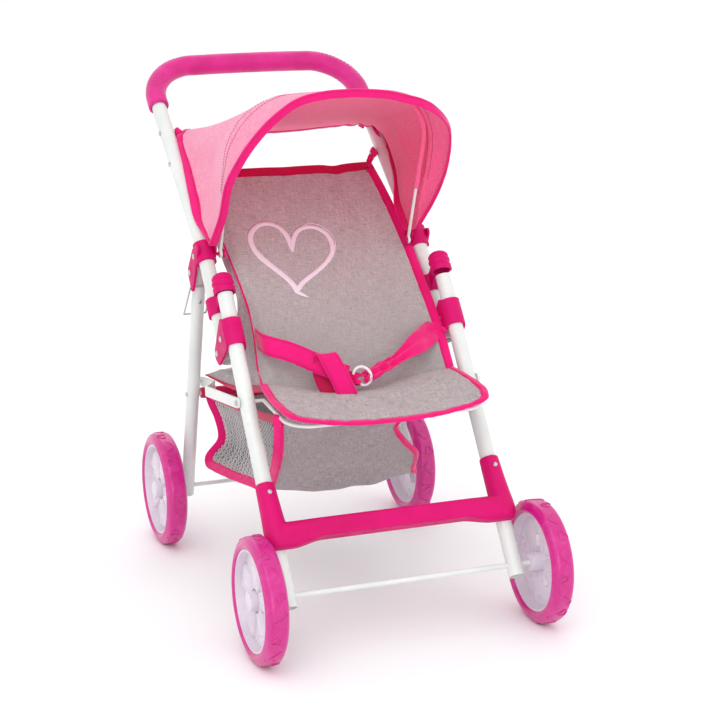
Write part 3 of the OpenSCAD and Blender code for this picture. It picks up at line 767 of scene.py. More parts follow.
def loft(name, rings, mat):
    """A closed skin through rings of points."""
    m = len(rings[0])
    verts = [p for ring in rings for p in ring]
    faces = [(i * m + k, i * m + (k + 1) % m, (i + 1) * m + (k + 1) % m, (i + 1) * m + k)
             for i in range(len(rings) - 1) for k in range(m)]
    faces += [tuple(range(m - 1, -1, -1)), tuple(range((len(rings) - 1) * m, len(rings) * m))]
    return build(name, verts, faces, [mat])


def footrest_mesh():
    """The bar with its flat upper face, turning down into a sleeve on each leg."""
    parts = []
    rings = []
    for x in np.linspace(-ARM_X + 6, ARM_X - 6, 61):
        end = smooth01((abs(x) - 78) / 34)
        low, high, deep = 53.5 - 6.5 * end, 73.5 + 1.0 * end, 20.5 - 0.5 * end
        ring = []
        corner = 3.0 + 5.0 * end
        for cu, cf, g0 in ((high - corner, deep - corner, 0), (low + corner, deep - corner, 90),
                           (low + corner, corner - 1.5, 180), (high - corner, corner - 1.5, 270)):
            for k in range(6):
                g = math.radians(g0 + 90 * k / 5)
                ring.append(leg_point(x, cu + corner * math.cos(g), cf + corner * math.sin(g)))
        rings.append(ring)
    parts.append(loft("bar", rings, M_PLASTIC))
    for side in (-1, 1):
        rings = []
        for up, fore, rx, rf in ((46.5, 8.5, 3, 3), (47.3, 8.5, 7.5, 7.5), (49.5, 8.3, 10.6, 10.8),
                                 (54, 8.0, 12.3, 12.6),
                                 (60, 7.6, 12.9, 13.2), (68, 6.6, 12.8, 13.2), (78, 5.2, 12.0, 12.9), (90,
                                                                                                       4.0, 11.4, 12.4),
                                 (101, 2.9, 10.9, 12.2), (108, 2.4, 10.6, 12.2), (117, 1.6, 10.3,
                                                                                  11.3), (119.5, 1.5, 10.2,
                                                                                          11.0),
                                 (120.2, 1.5, 9.6, 10.4)):
            rings.append([leg_point(side * ARM_X + rx * math.cos(2 * math.pi * k / 40), up,
                                    fore + rf * math.sin(2 * math.pi * k / 40))
                          for k in range(40)])
        parts.append(loft("sleeve", rings, M_PLASTIC))
    o = join("footrest_bar", parts)
    for kind, settings in (("REMESH", {"mode": "VOXEL", "voxel_size": 1.1 * MM}),
                           ("SMOOTH", {"factor": 0.5, "iterations": 4})):
        mod = o.modifiers.new(kind.lower(), kind)
        for key, value in settings.items():
            setattr(mod, key, value)
    bpy.context.view_layer.objects.active = o
    o.select_set(True)
    for mod in list(o.modifiers):
        bpy.ops.object.modifier_apply(modifier=mod.name)
    o.select_set(False)
    o.data.polygons.foreach_set("use_smooth", [True] * len(o.data.polygons))
    return o


footrest = footrest_mesh()
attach(footrest, "front_frame")
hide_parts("footrest")


# ---------------------------------------------------------------- hood
def from_pivot(x, y, z):
    return np.array([x, HOOD_PIVOT[1] + y, HOOD_PIVOT[2] + z])


def leaning(x, r, lean):
    g = math.radians(lean)
    return from_pivot(x, r * math.sin(g), r * math.cos(g))


# Across each arch: (share of the way from the top's middle to the tip, sideways, height along the lean).
BRIM = {
    1: [(0, 4, 223.5), (0.15, 42, 218.5), (0.3, 79, 205), (0.4, 104, 188), (0.5, 122, 166), (0.6, 130, 140),
        (0.72, 134, 100), (0.86, 130, 58), (1, 120, 16)],
    -1: [(0, 4, 223.5), (0.15, 32, 222), (0.3, 62, 212.5), (0.4, 85, 188), (0.5, 101, 160), (0.6, 111, 134),
         (0.72, 119, 101), (0.86, 119, 56), (1, 124, 14)],
}
WIRE = {
    1: [(0, 0, 193.6), (0.15, 33, 193.4), (0.3, 63, 192), (0.4, 85, 184), (0.5, 104.5, 165),
        (0.6, 116.5, 137),
        (0.72, 120, 104), (0.86, 119, 60), (1, 120, 15)],
    -1: [(0, 0, 193.6), (0.15, 33, 193.4), (0.3, 63, 192), (0.4, 85, 184), (0.5, 104, 165), (0.6, 115.5, 137),
         (0.72, 117, 104), (0.86, 118, 58), (1, 123, 14)],
}
REAR = {
    1: [(0, 0, 156, 107), (0.15, 28, 156, 107.5), (0.3, 62, 156, 109.5), (0.42, 92, 156, 111),
        (0.5, 114, 154, 111),
        (0.58, 131, 141, 106), (0.7, 139, 112, 84), (0.82, 131, 67, 57), (0.92, 118, 34, 33), (1, 117, 5, 9)],
    -1: [(0, 0, 156, 107), (0.15, 28, 156, 108), (0.3, 62, 156, 110.5), (0.42, 90, 156, 112.5),
         (0.5, 111, 155, 113),
         (0.58, 119, 140, 104), (0.7, 122, 108, 84), (0.82, 128, 62, 54), (0.92, 130, 34, 33), (1, 122, 4,
                                                                                                11)],
}
WIRE_AT = 0.72


BRIM_LEAN = -33
BRIM_TAPE = 8.5
BRIM_BACK = np.array([0, math.cos(math.radians(BRIM_LEAN)), -math.sin(math.radians(BRIM_LEAN))])


def brim_frame(u):
    """The fold of the brim's tape and the way it stands: up and out, but back on the right, where the cloth turns in."""
    side, s = (1 if u >= 0 else -1), abs(u)
    x, r = spline(BRIM[side], s)
    (x0, r0), (x1, r1) = spline(BRIM[side], max(0, s - 0.02)), spline(BRIM[side], min(1, s + 0.02))
    out_x, out_r = unit(np.array([-(r1 - r0), x1 - x0]))
    stand = math.radians(-14)
    out = unit(np.array([side * out_x, out_r * math.sin(stand), out_r * math.cos(stand)]))
    turn_in = smooth01((u - 0.2) / 0.3)
    way = unit(out * (1 - turn_in) + (BRIM_BACK * 0.97 + out * 0.22) * turn_in)
    fold = leaning(side * (x - out_x * 5.5 * (1 - turn_in)), r - out_r * 5.5 * (1 - turn_in), BRIM_LEAN)
    return fold, way


def hood_surface(u, v):
    side = 1 if u >= 0 else -1
    s = abs(u)
    x, y, z = spline(REAR[side], s)
    rear = from_pivot(side * x, y, z)
    x, r = spline(WIRE[side], s)
    wire = leaning(side * x, r, -20.8)
    fold, way = brim_frame(u)
    brim = fold + way * (BRIM_TAPE - 3.5)
    wall = smooth01((s - 0.42) / 0.16)
    if v <= WIRE_AT:
        t = v / WIRE_AT
        p = rear * (1 - t) + wire * t
        sag = math.sin(math.pi * t)
        p[2] -= sag * 1.5 * (1 - wall)
        p[0] -= side * sag * 7.0 * wall * (1 - smooth01((s - 0.8) / 0.2))
        # the rear hem stands out to the arm
        p[0] -= side * 7.0 * wall * smooth01(t / 0.14) * (1 - smooth01((s - 0.82) / 0.16)) * (1 - t)
        # soft folds that fan out from the rear corner
        for centre, width, depth in ((0.5, 0.05, 3.4), (0.62, 0.055, -3.0), (0.74, 0.05, 2.6)):
            lane = centre - 0.14 * t
            fold_ = math.exp(-((s - lane) / width) ** 2) * depth * math.sin(math.pi * min(1, t * 1.15)) ** 1.2
            p[0] -= side * fold_ * wall
        # gathers where the corner is bunched at its knot
        corner = math.exp(-((s - 0.5) / 0.1) ** 2) * (1 - smooth01(t / 0.4))
        p[2] += 1.6 * corner * math.sin(s * 95)
        p[1] += 0.8 * noise.noise(Vector((u * 6, v * 5, 1))) * sag
        p[0] += 1.3 * noise.noise(Vector((u * 9, v * 6, 4))) * sag * wall
    else:
        t = (v - WIRE_AT) / (1 - WIRE_AT)
        p = wire * (1 - t) + brim * t
        p[2] += 2.0 * math.sin(math.pi * t) * (1 - smooth01((s - 0.3) / 0.3))
        p[2] += 0.6 * noise.noise(Vector((u * 14, v * 5, 9))) * math.sin(math.pi * t)
    return p


hood = Sheet(hood_surface, 141, 49)
hood.N = hood.N if hood.N[24, 70][2] > 0 else -hood.N
# the under face takes the deeper pink of painted shade
hood_cloth = hood.shell("hood_cloth", 1.1, M_ROSE, M_ROSE_INSIDE_SHADE)
frames = [brim_frame(u) for u in np.linspace(-1, 1, 161)]
brim_path, brim_way = np.array([f[0] for f in frames]), np.array([f[1] for f in frames])
brim_normal = unit(np.cross(np.gradient(brim_path, axis=0), brim_way))
front_trim = binding("hood_brim_trim", (brim_path, brim_way, brim_normal), BRIM_TAPE, 1.3, seed=1)
path, inward, normal = hood.edge("low")
centre = np.zeros_like(inward)
centre[:, 0] = -np.sign(path[:, 0])
share = np.array([0.95 if u > 0 else 0.0 for u in np.linspace(-1, 1, len(path))])
share = share * np.array([smooth01((abs(u) - 0.52) / 0.1) for u in np.linspace(-1, 1, len(path))])
inward = unit(inward * (1 - share[:, None] * 0.6) + centre * share[:, None])
normal = unit(np.cross(np.cross(inward, normal), inward))
rear_trim = binding("hood_rear_trim", (path, inward, normal), 12.0, 1.25, M_TAPE, seed=2, wobble=0.5)
row = int(round(WIRE_AT * 48))
keep = slice(14, 127)
seams = []
for lift, name in ((-1, "inside"), (1, "outside")):
    for gap in (-1, 2):
        line = hood.P[row + gap, keep] + hood.N[row + gap, keep] * lift * 0.75
        seams.append(stitches("seam_%s_%d" % (name, gap), line, hood.N[row + gap, keep] * lift, r=0.3))
hood_seam = join("hood_wire_seam", seams)

# The tunnel sewn under the cloth that holds the wire.
WIRE_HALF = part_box("hood_wire")[1][0] / MM - 1.8
WIRE_TOP = (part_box("hood_wire")[1][2] / MM - 1.8 - HOOD_PIVOT[2]) / math.cos(math.radians(20))
WIRE_BEND = 62.0
tunnel = [(WIRE_HALF, r) for r in np.linspace(68, WIRE_TOP - WIRE_BEND, 14)[:-1]]
tunnel += [(WIRE_HALF - WIRE_BEND * (1 - math.cos(g)), WIRE_TOP - WIRE_BEND * (1 - math.sin(g)))
           for g in np.linspace(0, math.pi / 2, 24)]
tunnel += [(-x, r) for x, r in reversed(tunnel)]
sleeve_points, _ = resample([leaning(x, r, -20) for x, r in tunnel], 5.0)
# the sleeve shares the inside's deeper pink of painted shade
wire_sleeve = tube("hood_wire_sleeve", sleeve_points, lambda s: 2.75 + 0.2 * math.sin(s * 70), M_ROSE_INSIDE_SHADE, 14)
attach(wire_sleeve, "hood")

for o, what in ((hood_cloth, "cloth_pink"), (front_trim, "strap_pink"), (rear_trim, "strap_pink"),
                (hood_seam, "cloth_pink")):
    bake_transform(o)
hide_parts("hood_cover")


# ---------------------------------------------------------------- seat back
BACK_LOW = np.array([0, SEAT_PIVOT[1] + 1, SEAT_PIVOT[2] + 16])
BACK_TOP = np.array([0, HOOD_PIVOT[1] + 112.5, HOOD_PIVOT[2] + 70])
BACK_DIR = unit(BACK_TOP - BACK_LOW)
BACK_OUT = np.array([0, -BACK_DIR[2], BACK_DIR[1]])


LEFT_EDGE = [(0, 110), (0.12, 104), (0.25, 97.5), (0.38, 94), (0.7, 98), (0.9, 101.5), (1, 102.5)]
RIGHT_EDGE = [(0, 109), (0.16, 113.5), (0.36, 115.5), (0.65, 116), (0.85, 113.5), (1, 109)]


def back_x(u, v):
    left, right = spline(LEFT_EDGE, v)[0], spline(RIGHT_EDGE, v)[0]
    return (right - left) / 2 + u * (right + left) / 2


def back_surface(u, v):
    p = BACK_LOW * (1 - v) + BACK_TOP * v
    p = p + np.array([back_x(u, v), 0, 0])
    sag = 9.0 * math.sin(math.pi * min(1, v * 0.9 + 0.05)) * (1 - abs(u) ** 2.2)
    p = p - BACK_OUT * sag
    # the foot dips into the crease behind the seat
    low = (1 - abs(u) ** 2.5) * (1 - smooth01(v / 0.15))
    p = p + np.array([0, -5.0, -13.0]) * low
    # creases: one down from the right top corner, and slack near the foot
    crease = 2.4 * math.exp(-((u - 0.72 + 0.16 * v) / 0.09) ** 2) * smooth01((v - 0.15) / 0.3)
    crease += 2.0 * math.exp(-((u - 0.45 - 0.25 * (1 - v)) / 0.1) ** 2) * smooth01((0.7 - v) / 0.3)
    crease += 1.4 * math.exp(-((u + 0.8 - 0.1 * v) / 0.1) ** 2) * smooth01((0.8 - v) / 0.4)
    p = p - BACK_OUT * crease
    p = p + BACK_OUT * 1.6 * noise.noise(Vector((u * 3.2, v * 2.4, 3))) * (1 - abs(u) ** 6)
    # the left hem rolls back and the right one stands a little forward
    p = p - BACK_OUT * 8.0 * smooth01((-u - 0.9) / 0.1) * smooth01(v / 0.08) * (1 - smooth01((v - 0.93) / 0.07))
    p = p + BACK_OUT * 3.0 * smooth01((u - 0.8) / 0.2) * math.sin(math.pi * v)
    lift = (4.5 - 2.5 * u - 1.5 * (1 - u * u)) * smooth01((v - 0.85) / 0.15)
    return p + BACK_DIR * lift


back = Sheet(back_surface, 61, 75)
back.N = back.N if back.N[30, 30][1] < 0 else -back.N
seat_cloth = back.shell("seat_back_cloth", 1.6, M_BACK)
back_parts = [seat_cloth]
for k, (side, width) in enumerate((("left", 9.5), ("right", 9.5), ("high", 12.5))):
    path, inward, normal = back.edge(side)
    if side == "left":
        inward = unit(inward * 0.45 - BACK_OUT * 0.9)
        normal = unit(np.cross(np.cross(inward, normal), inward))
    back_parts.append(binding("seat_back_trim_" + side, (path, inward, normal), width, 1.5,
                              M_TAPE_DEEP if side == "high" else M_TAPE, seed=10 + k))


def on_back(u, v, lift):
    """A point on the seat back's front face."""
    i, j = v * 74, (u + 1) * 30
    i0, j0 = min(73, int(i)), min(59, int(j))
    a, b = i - i0, j - j0
    p = ((1 - a) * (1 - b) * back.P[i0, j0] + (1 - a) * b * back.P[i0, j0 + 1]
         + a * (1 - b) * back.P[i0 + 1, j0] + a * b * back.P[i0 + 1, j0 + 1])
    return p + back.N[i0, j0] * lift


# A heart outline printed in loose brush strokes.
def heart_point(t, wide, tall):
    x = 16 * math.sin(t) ** 3
    y = 13 * math.cos(t) - 5 * math.cos(2 * t) - 2 * math.cos(3 * t) - math.cos(4 * t) - 4.5 * math.exp(-(t / 0.4) ** 2)
    return x * wide, (y + 2.5) * tall


def brush(name, pts, width, lift, seed, taper=0.12):
    """A flat ribbon of ink on the seat back with ragged edges; pts are (across, up) in millimetres."""
    q = [np.array(p, float) for p in pts]
    verts, uvs, faces = [], [], []
    run = 0
    for i, p in enumerate(q):
        t = q[min(i + 1, len(q) - 1)] - q[max(i - 1, 0)]
        t = t / (np.linalg.norm(t) + 1e-9)
        nrm = np.array([-t[1], t[0]])
        if i:
            run += np.linalg.norm(p - q[i - 1])
        s = i / (len(q) - 1)
        end = min(1, s / taper + 0.45, (1 - s) / taper + 0.3)
        for k, sgn in enumerate((-1, -0.33, 0.33, 1)):
            rag = 0.5 * noise.noise(Vector((run * 0.3, sgn * 5, seed))) if abs(sgn) == 1 else 0
            at = p + nrm * sgn * (width / 2 * end + rag)
            verts.append(on_back(*back_uv(at), lift - (0.35 if abs(sgn) == 1 else 0)))
            uvs.append((run, sgn * width / 2))
    for i in range(len(q) - 1):
        for k in range(3):
            a = i * 4 + k
            faces.append((a, a + 1, a + 5, a + 4))
    o = build(name, verts, faces, [M_INK], None, uvs, None, False)
    solid = o.modifiers.new("ink", "SOLIDIFY")
    solid.thickness, solid.offset = 0.25 * MM, -1
    return o


HEART_MID = (-24.0, 187.0)


def back_uv(at):
    """(u, v) on the seat back for a point (across, up) in millimetres from the middle of its foot."""
    up = (HEART_MID[1] + at[1]) / back.size[1]
    middle, edge = back_x(0, up), back_x(1, up)
    return (HEART_MID[0] + at[0] - middle) / (edge - middle), up


turn = math.radians(-10)


def tilted(p):
    return (p[0] * math.cos(turn) - p[1] * math.sin(turn), p[0] * math.sin(turn) + p[1] * math.cos(turn))


def loose(pts, dx, dy, grow, seed):
    """The same stroke again, a little off, as a second pass of the brush."""
    return [(x * grow + dx + 0.8 * noise.noise(Vector((k * 0.09, seed, 0))),
             y * grow + dy + 0.8 * noise.noise(Vector((k * 0.09, seed, 5)))) for k, (x, y) in enumerate(pts)]


strokes = []
WIDE, TALL = 3.0, 3.65
left_half = [tilted(heart_point(-t, WIDE, TALL)) for t in np.linspace(0.05, math.pi + 0.02, 70)]
right_half = [tilted(heart_point(t, WIDE, TALL)) for t in np.linspace(0.05, math.pi - 0.03, 70)]
tail = [(left_half[-1][0] + 10 * s, left_half[-1][1] - 9 * s) for s in np.linspace(0.15, 1, 8)]
strokes.append(brush("stroke_left", loose(left_half + tail, 0, 0, 1, 1), 6.2, 1.35, 1))
strokes.append(brush("stroke_left_2", loose(left_half[3:] + tail[:5], -2.2, -1.0, 1.0, 2), 2.2, 1.3, 2, 0.1))
strokes.append(brush("stroke_left_3", loose(left_half[18:66], 2.6, 1.4, 1.0, 3), 1.2, 1.25, 3, 0.2))
strokes.append(brush("stroke_right", loose(right_half, 0, 0, 1, 4), 6.0, 1.5, 4))
strokes.append(brush("stroke_right_2", loose(right_half[4:66], 2.0, 1.2, 1.0, 5), 2.0, 1.3, 5, 0.1))
strokes.append(brush("stroke_right_3", loose(right_half[12:48], 3.4, 3.0, 1.02, 6), 0.9, 1.25, 6, 0.2))
strokes.append(brush("stroke_right_4", loose(right_half[30:69], -2.8, -0.4, 1.0, 7), 1.1, 1.25, 7, 0.2))
for o in strokes:
    bpy.context.view_layer.objects.active = o
    o.select_set(True)
    bpy.ops.object.modifier_apply(modifier="ink")
    o.select_set(False)
heart_print = join("heart_print", strokes)

# Grey wings behind the front legs: a strip along the back's edge that widens to reach the rail's rear end.
WING_FAR = [(0, 112, 211, -27), (0.14, 109, 167, -10), (0.3, 110, 109, 8), (0.45, 111, 103, 48),
            (0.6, 112, 127, 93),
            (0.8, 112, 163, 123), (1, 112, 196, 158)]


def wing_surface(side):
    def f(u, v):
        a = (u + 1) / 2                       # 0 at the back's edge, 1 at the free rear edge
        near = on_back(side * 0.97, 0.02 + 0.75 * v, -2.4)
        low = near * (1 - smooth01((0.1 - v) / 0.1)) + smooth01((0.1 - v) / 0.1) * np.array(
            [side * 107, SEAT_PIVOT[1] + 3, SEAT_PIVOT[2] + 9])
        x, y, z = spline(WING_FAR, v)
        far = np.array([side * x, SEAT_PIVOT[1] + y, SEAT_PIVOT[2] + z])
        strip_ = near + np.array([side * 7.0, 0, 0]) - BACK_OUT * 12
        k = smooth01((v - 0.35) / 0.25)
        far = far * (1 - k) + strip_ * k
        far[0] = side * min(abs(far[0]), 115.6)
        end = smooth01((v - 0.9) / 0.1) * 0.9
        far = far * (1 - end) + near * end
        p = low * (1 - a) + far * a
        p[2] -= 8.0 * math.sin(math.pi * a) * (1 - smooth01(v / 0.3))
        p[0] -= side * 3.0 * math.sin(math.pi * a) * (1 - v)
        return p + np.array([0, 1, 1]) * 0.8 * noise.noise(Vector((a * 3, v * 6, side)))
    return f


wings, facings = [], []
for side, word in ((-1, "left"), (1, "right")):
    surface = wing_surface(side)
    w = Sheet(lambda u, v: surface(u, v * 0.5), 31, 25, flip=side > 0)
    facing = Sheet(lambda u, v: surface(u, 0.5 + v * 0.5), 31, 25, flip=side > 0)
    facings.append((facing.shell("seat_facing_" + word, 1.2, M_GREY), facing))
    cloth_wing = w.shell("seat_wing_" + word, 1.2, M_GREY)
    trim = binding("seat_wing_trim_" + word, w.edge("low"), 7.5, 1.3, M_TAPE_DEEP, seed=20 + side,
                   stitched=False)
    wings.append((cloth_wing, trim, w))


# ---------------------------------------------------------------- seat bottom


def pad_outline(s):
    """The seat's outline from the rear left corner round the bulging front to the rear right, s from 0 to 1."""
    return spline([(0, -112, -2), (0.12, -114, -26), (0.26, -115, -62), (0.35, -112, -86), (0.41, -96, -99),
                   (0.5, 0, -106), (0.59, 96, -100), (0.65, 110, -88), (0.74, 112, -64), (0.88, 110, -28),
                   (1, 109, -2)], s)


def pad_point(x, y):
    """Height of the seat's top above the pivot: a crease behind, a low crest, and the front edge lower in the middle."""
    t = min(1, max(0, -y / 104))
    s = x / 108
    rear = 4.0 + 13.0 * smooth01((-s - 0.35) / 0.65) + 10.5 * smooth01((s - 0.05) / 0.85)
    front = -3.5 + 10.0 * min(1.1, abs(s)) ** 2.4
    crest = 5.0 * math.exp(-((t - 0.4) / 0.2) ** 2) * (1 - abs(s) ** 3)
    side = 3.5 * smooth01((s - 0.5) / 0.45) * math.sin(math.pi * t)
    return rear * (1 - t) + front * t + crest + side


def seat_pad_mesh():
    """A thin padded panel: crowned above and below, sewn flat at its outline."""
    n, rings = 120, 16
    loop = [pad_outline(k / (n * 0.75)) for k in range(int(n * 0.75) + 1)]
    rear = [np.array([109 - 221 * k / (n * 0.25),
                      -2 + 3 * math.sin(math.pi * k / (n * 0.25))]) for k in range(1, int(n * 0.25))]
    ring = loop + rear
    m = len(ring)
    cx, cy = 0, -50
    top, low, uv = [], [], []
    for j in range(rings + 1):
        s = j / rings
        for p in ring:
            x, y = cx + (p[0] - cx) * s, cy + (p[1] - cy) * s
            puff = (1 - s ** 5) * 3.6
            quilt = 1.5 * math.exp(-((y + 30 + 0.1 * x) / 5) ** 2) + 1.1 * math.exp(-((y + 62 - 0.18 * x) / 6) ** 2)
            rough_ = 1.0 * noise.noise(Vector((x * 0.035, y * 0.05, 2)))
            z = pad_point(x, y)
            edge = 1 - s ** 8
            top.append((x, SEAT_PIVOT[1] + y, SEAT_PIVOT[2] + z + puff - quilt * edge * 0.7 + rough_ * edge))
            low.append((x, SEAT_PIVOT[1] + y, SEAT_PIVOT[2] + z - puff * 0.6 - 0.9))
            uv.append((x, y))
    faces = []
    for j in range(rings):
        for k in range(m):
            a, b = j * m + k, j * m + (k + 1) % m
            faces.append((a, b, b + m, a + m))
    off = len(top)
    faces += [(a + off, d + off, c + off, b + off) for a, b, c, d in faces]
    o = build("seat_pad_cloth", top + low, faces + [(rings * m + k, rings * m + (k + 1) % m,
              rings * m + (k + 1) % m + off, rings * m + k + off) for k in range(m)], [M_GREY], None, uv + uv, 60)
    bm = bmesh.new()
    bm.from_mesh(o.data)
    bmesh.ops.remove_doubles(bm, verts=bm.verts, dist=1e-6)
    bmesh.ops.recalc_face_normals(bm, faces=bm.faces)
    bm.to_mesh(o.data)
    bm.free()
    edge_pts = np.array([(p[0], SEAT_PIVOT[1] + p[1],
                          SEAT_PIVOT[2] + pad_point(p[0], p[1]) - 0.4) for p in loop])
    centre = np.array([0, SEAT_PIVOT[1] - 40, SEAT_PIVOT[2] + 8])
    t = unit(np.gradient(edge_pts, axis=0))
    up = np.tile(np.array([0, 0, 1.0]), (len(edge_pts), 1))
    inward = unit(np.cross(up, t))
    inward *= np.sign(((centre - edge_pts) * inward).sum(1))[:, None]
    normal = unit(np.cross(t, inward))
    normal *= np.sign(normal[:, 2])[:, None]
    return o, (edge_pts, inward, normal)


pad, pad_edge = seat_pad_mesh()
pad_trim = binding("seat_pad_trim", pad_edge, 7.5, 2.0, step=2.5, wobble=0.7, seed=31)
for o, what in ((pad, "cloth_grey"), (pad_trim, "strap_pink")):
    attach(o, "seat_frame")
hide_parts("seat_pad")


# ---------------------------------------------------------------- belts
def belt_path(points, n=60):
    knots = [(k / (len(points) - 1), *p) for k, p in enumerate(points)]
    return [spline(knots, s) for s in np.linspace(0, 1, n)]


def over_seat(x, y, z):
    return np.array([x, SEAT_PIVOT[1] + y, SEAT_PIVOT[2] + z])


BELT_UP = unit(BACK_DIR * 0.85 + BACK_OUT * 0.5)
left_belt = belt_path([on_back(-0.985, 0.225, 1.5), over_seat(-97, 26, 53), over_seat(-76, 6, 48),
                       over_seat(-50, -15, 37),
                       over_seat(-34, -20, 30), over_seat(-22, -22, 25)])
belt_left = strap("lap_belt_left", left_belt, [BELT_UP] * 60, 21, 1.5, seed=41)
right_pts = [over_seat(-1, -24, 22), over_seat(8, -22, 25), over_seat(19, -17, 28), over_seat(38, -7, 31),
             over_seat(66, 6, 42), on_back(0.9, 0.165, 3), on_back(0.985, 0.185, 1.8)]
right_path = np.array(belt_path(right_pts, 90))


def gathered(name, path, width, seed):
    """Webbing scrunched across its width, with folds along it."""
    t = unit(np.gradient(path, axis=0))
    d = np.r_[0, np.cumsum(np.linalg.norm(np.diff(path, axis=0), axis=1))]
    verts, uvs, faces = [], [], []
    m = 15
    for i, p in enumerate(path):
        up = unit(BACK_DIR - t[i] * (BACK_DIR @ t[i]))
        out = unit(np.cross(up, t[i]))
        s = d[i] / d[-1]
        w = width * (0.62 + 0.38 * smooth01((s - 0.35) / 0.3) - 0.1 * math.exp(-((s - 0.3) / 0.06) ** 2))
        for layer in (1, -1):
            for k in range(m):
                a = k / (m - 1) * 2 - 1
                ripple = 2.3 * math.sin(a * 5.5 + s * 7 + seed) * (1 - smooth01((s - 0.3) / 0.5) * 0.6)
                ripple += 1.5 * noise.noise(Vector((a * 2.2, s * 9, seed)))
                cross = 1.3 * math.sin(s * 55 + a * 2) * math.exp(-((s - 0.22) / 0.16) ** 2)
                side = a if layer > 0 else -a
                rip = 2.3 * math.sin(side * 5.5 + s * 7 + seed) * (1 - smooth01((s - 0.3) / 0.5) * 0.6)
                rip += 1.5 * noise.noise(Vector((side * 2.2, s * 9,
                                                 seed))) + 1.3 * math.sin(s * 55 + side * 2) * math.exp(-((s - 0.22) / 0.16) ** 2)
                verts.append(p + up * side * w / 2 + out * (rip + layer * 0.75))
                uvs.append((d[i], side * 12 + 12))
    n = 2 * m
    for i in range(len(path) - 1):
        for k in range(n):
            a, b = i * n + k, i * n + (k + 1) % n
            faces.append((a, b, b + n, a + n))
    faces += [tuple(range(n - 1, -1, -1)), tuple(range((len(path) - 1) * n, len(path) * n))]
    return build(name, verts, faces, [M_TAPE], None, uvs, 60)


belt_right = gathered("lap_belt_right", right_path, 24.5, 2.0)

RING_MID = over_seat(-7, -25.5, 23.5)


def d_ring():
    pts = []
    for k in range(49):
        g = 2 * math.pi * k / 48
        x, y = 9.4 * math.cos(g), 9.8 * math.sin(g)
        pts.append(RING_MID + np.array([x * 0.94, -x * 0.3, 0]) + BELT_UP * y)
    return tube("belt_ring_round", pts, 1.65, M_RING, 12)


ring = d_ring()
# the end of the right-hand belt, folded back through the ring
loop_pts = [over_seat(6, -22, 24), over_seat(0, -27.5, 22), over_seat(-3.5, -30, 20.5),
            over_seat(-5, -28, 20),
            over_seat(-1, -22.5, 22), over_seat(7, -19, 25)]
belt_loop = gathered("lap_belt_loop", np.array(belt_path(loop_pts, 40)), 12.5, 5.0)
tab_pts = [over_seat(-30, -21.5, 25), over_seat(-21, -26, 22.5), over_seat(-14.5, -29.5, 21),
           over_seat(-12.5, -27.5, 20.5),
           over_seat(-16, -23.5, 21.5), over_seat(-26, -19.5, 24)]
belt_tab = gathered("lap_belt_tab", np.array(belt_path(tab_pts, 40)), 14, 9.0)

# The strap between the legs comes up from the seat, folds over the belt and goes down again behind it.
crotch_pts = [over_seat(-27, -39, 0), over_seat(-29, -40, 9), over_seat(-35, -36, 25),
              over_seat(-42, -30.5, 41),
              over_seat(-45, -26, 48), over_seat(-46.5, -20.5, 50), over_seat(-47.5, -15,
                                                                              46), over_seat(-48, -11.5, 36)]
crotch = strap("crotch_strap_cloth", belt_path(crotch_pts, 80), [np.array([1.0, -0.18, 0.02])] * 80, 21,
               1.5, seed=43)
under_pts = [over_seat(-48.5, -11, 38), over_seat(-47, -12, 26), over_seat(-43, -18, 13),
             over_seat(-36, -27, 5), over_seat(-31, -33, 1)]
# the tail is the same webbing, given the deeper pink tape as painted shade behind the belt
under = strap("crotch_strap_tail", belt_path(under_pts, 40), [np.array([1.0, -0.3, 0.1])] * 40, 20, 1.4,
              M_TAPE_DEEP, seed=44)

BACK_START, BACK_END = tuple(BACK_LOW * MM), tuple(BACK_TOP * MM)
loops = []
for side, word in ((-1, "left"), (1, "right")):
    lo, hi = (np.array(c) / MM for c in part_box("seat_clips"))
    knot_at = np.array([side * (hi[0] - 4.2), (lo[1] + hi[1]) / 2, (lo[2] + hi[2]) / 2])
    corner_at = on_back(side * 0.93, 0.975, 0.5)
    bow = (knot_at + corner_at) / 2 - BACK_OUT * 1.5
    loops.append(gathered("seat_loop_" + word, np.array(belt_path([corner_at - BACK_DIR * 9, corner_at, bow,
                                                                   knot_at], 30)), 8.0, 11.0 + side))
belt_pieces = [belt_left, belt_right, belt_loop, belt_tab, ring, crotch, under, *loops]
on_seat = [crotch, under]
for o in on_seat:
    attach(o, "seat_frame")
    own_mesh(o)
for o in [*back_parts, heart_print, *belt_pieces, *[p for w in wings for p in w[:2]],
          *[f[0] for f in facings]]:
    if o not in on_seat:
        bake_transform(o)
        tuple(BACK_START)
        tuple(BACK_END)
for o in back_parts[1:] + [b for b in belt_pieces if b is not ring] + [w[1] for w in wings]:
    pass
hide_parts("seat_back")
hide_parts("lap_belt")
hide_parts("belt_ring")
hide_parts("crotch_strap")


# ---------------------------------------------------------------- basket
# The grey strip down the front, along the floor and up to the rear rod:
# (run, y, z, reach to the left, reach to the right; the reach is less where it hangs drawn in).
STRIP = [(0, -60, -6, 108, 62), (0.05, -55, -17, 107, 32), (0.1, -47, -31, 104, 22),
         (0.18, -32, -53, 101, 38),
         (0.26, -10, -75, 97, 60), (0.36, 28, -105, 90, 72), (0.42, 46, -115, 88, 80), (0.5, 80, -119, 90,
                                                                                        91),
         (0.62, 124, -124, 95, 96), (0.74, 180, -130, 103, 103), (0.79, 212, -134, 105, 105), (0.83, 219,
                                                                                               -128, 102, 102),
         (0.87, 217, -110, 88, 92), (0.92, 214, -84, 92, 94), (0.96, 213, -64, 100, 100), (1, 212, -50, 104,
                                                                                           104)]


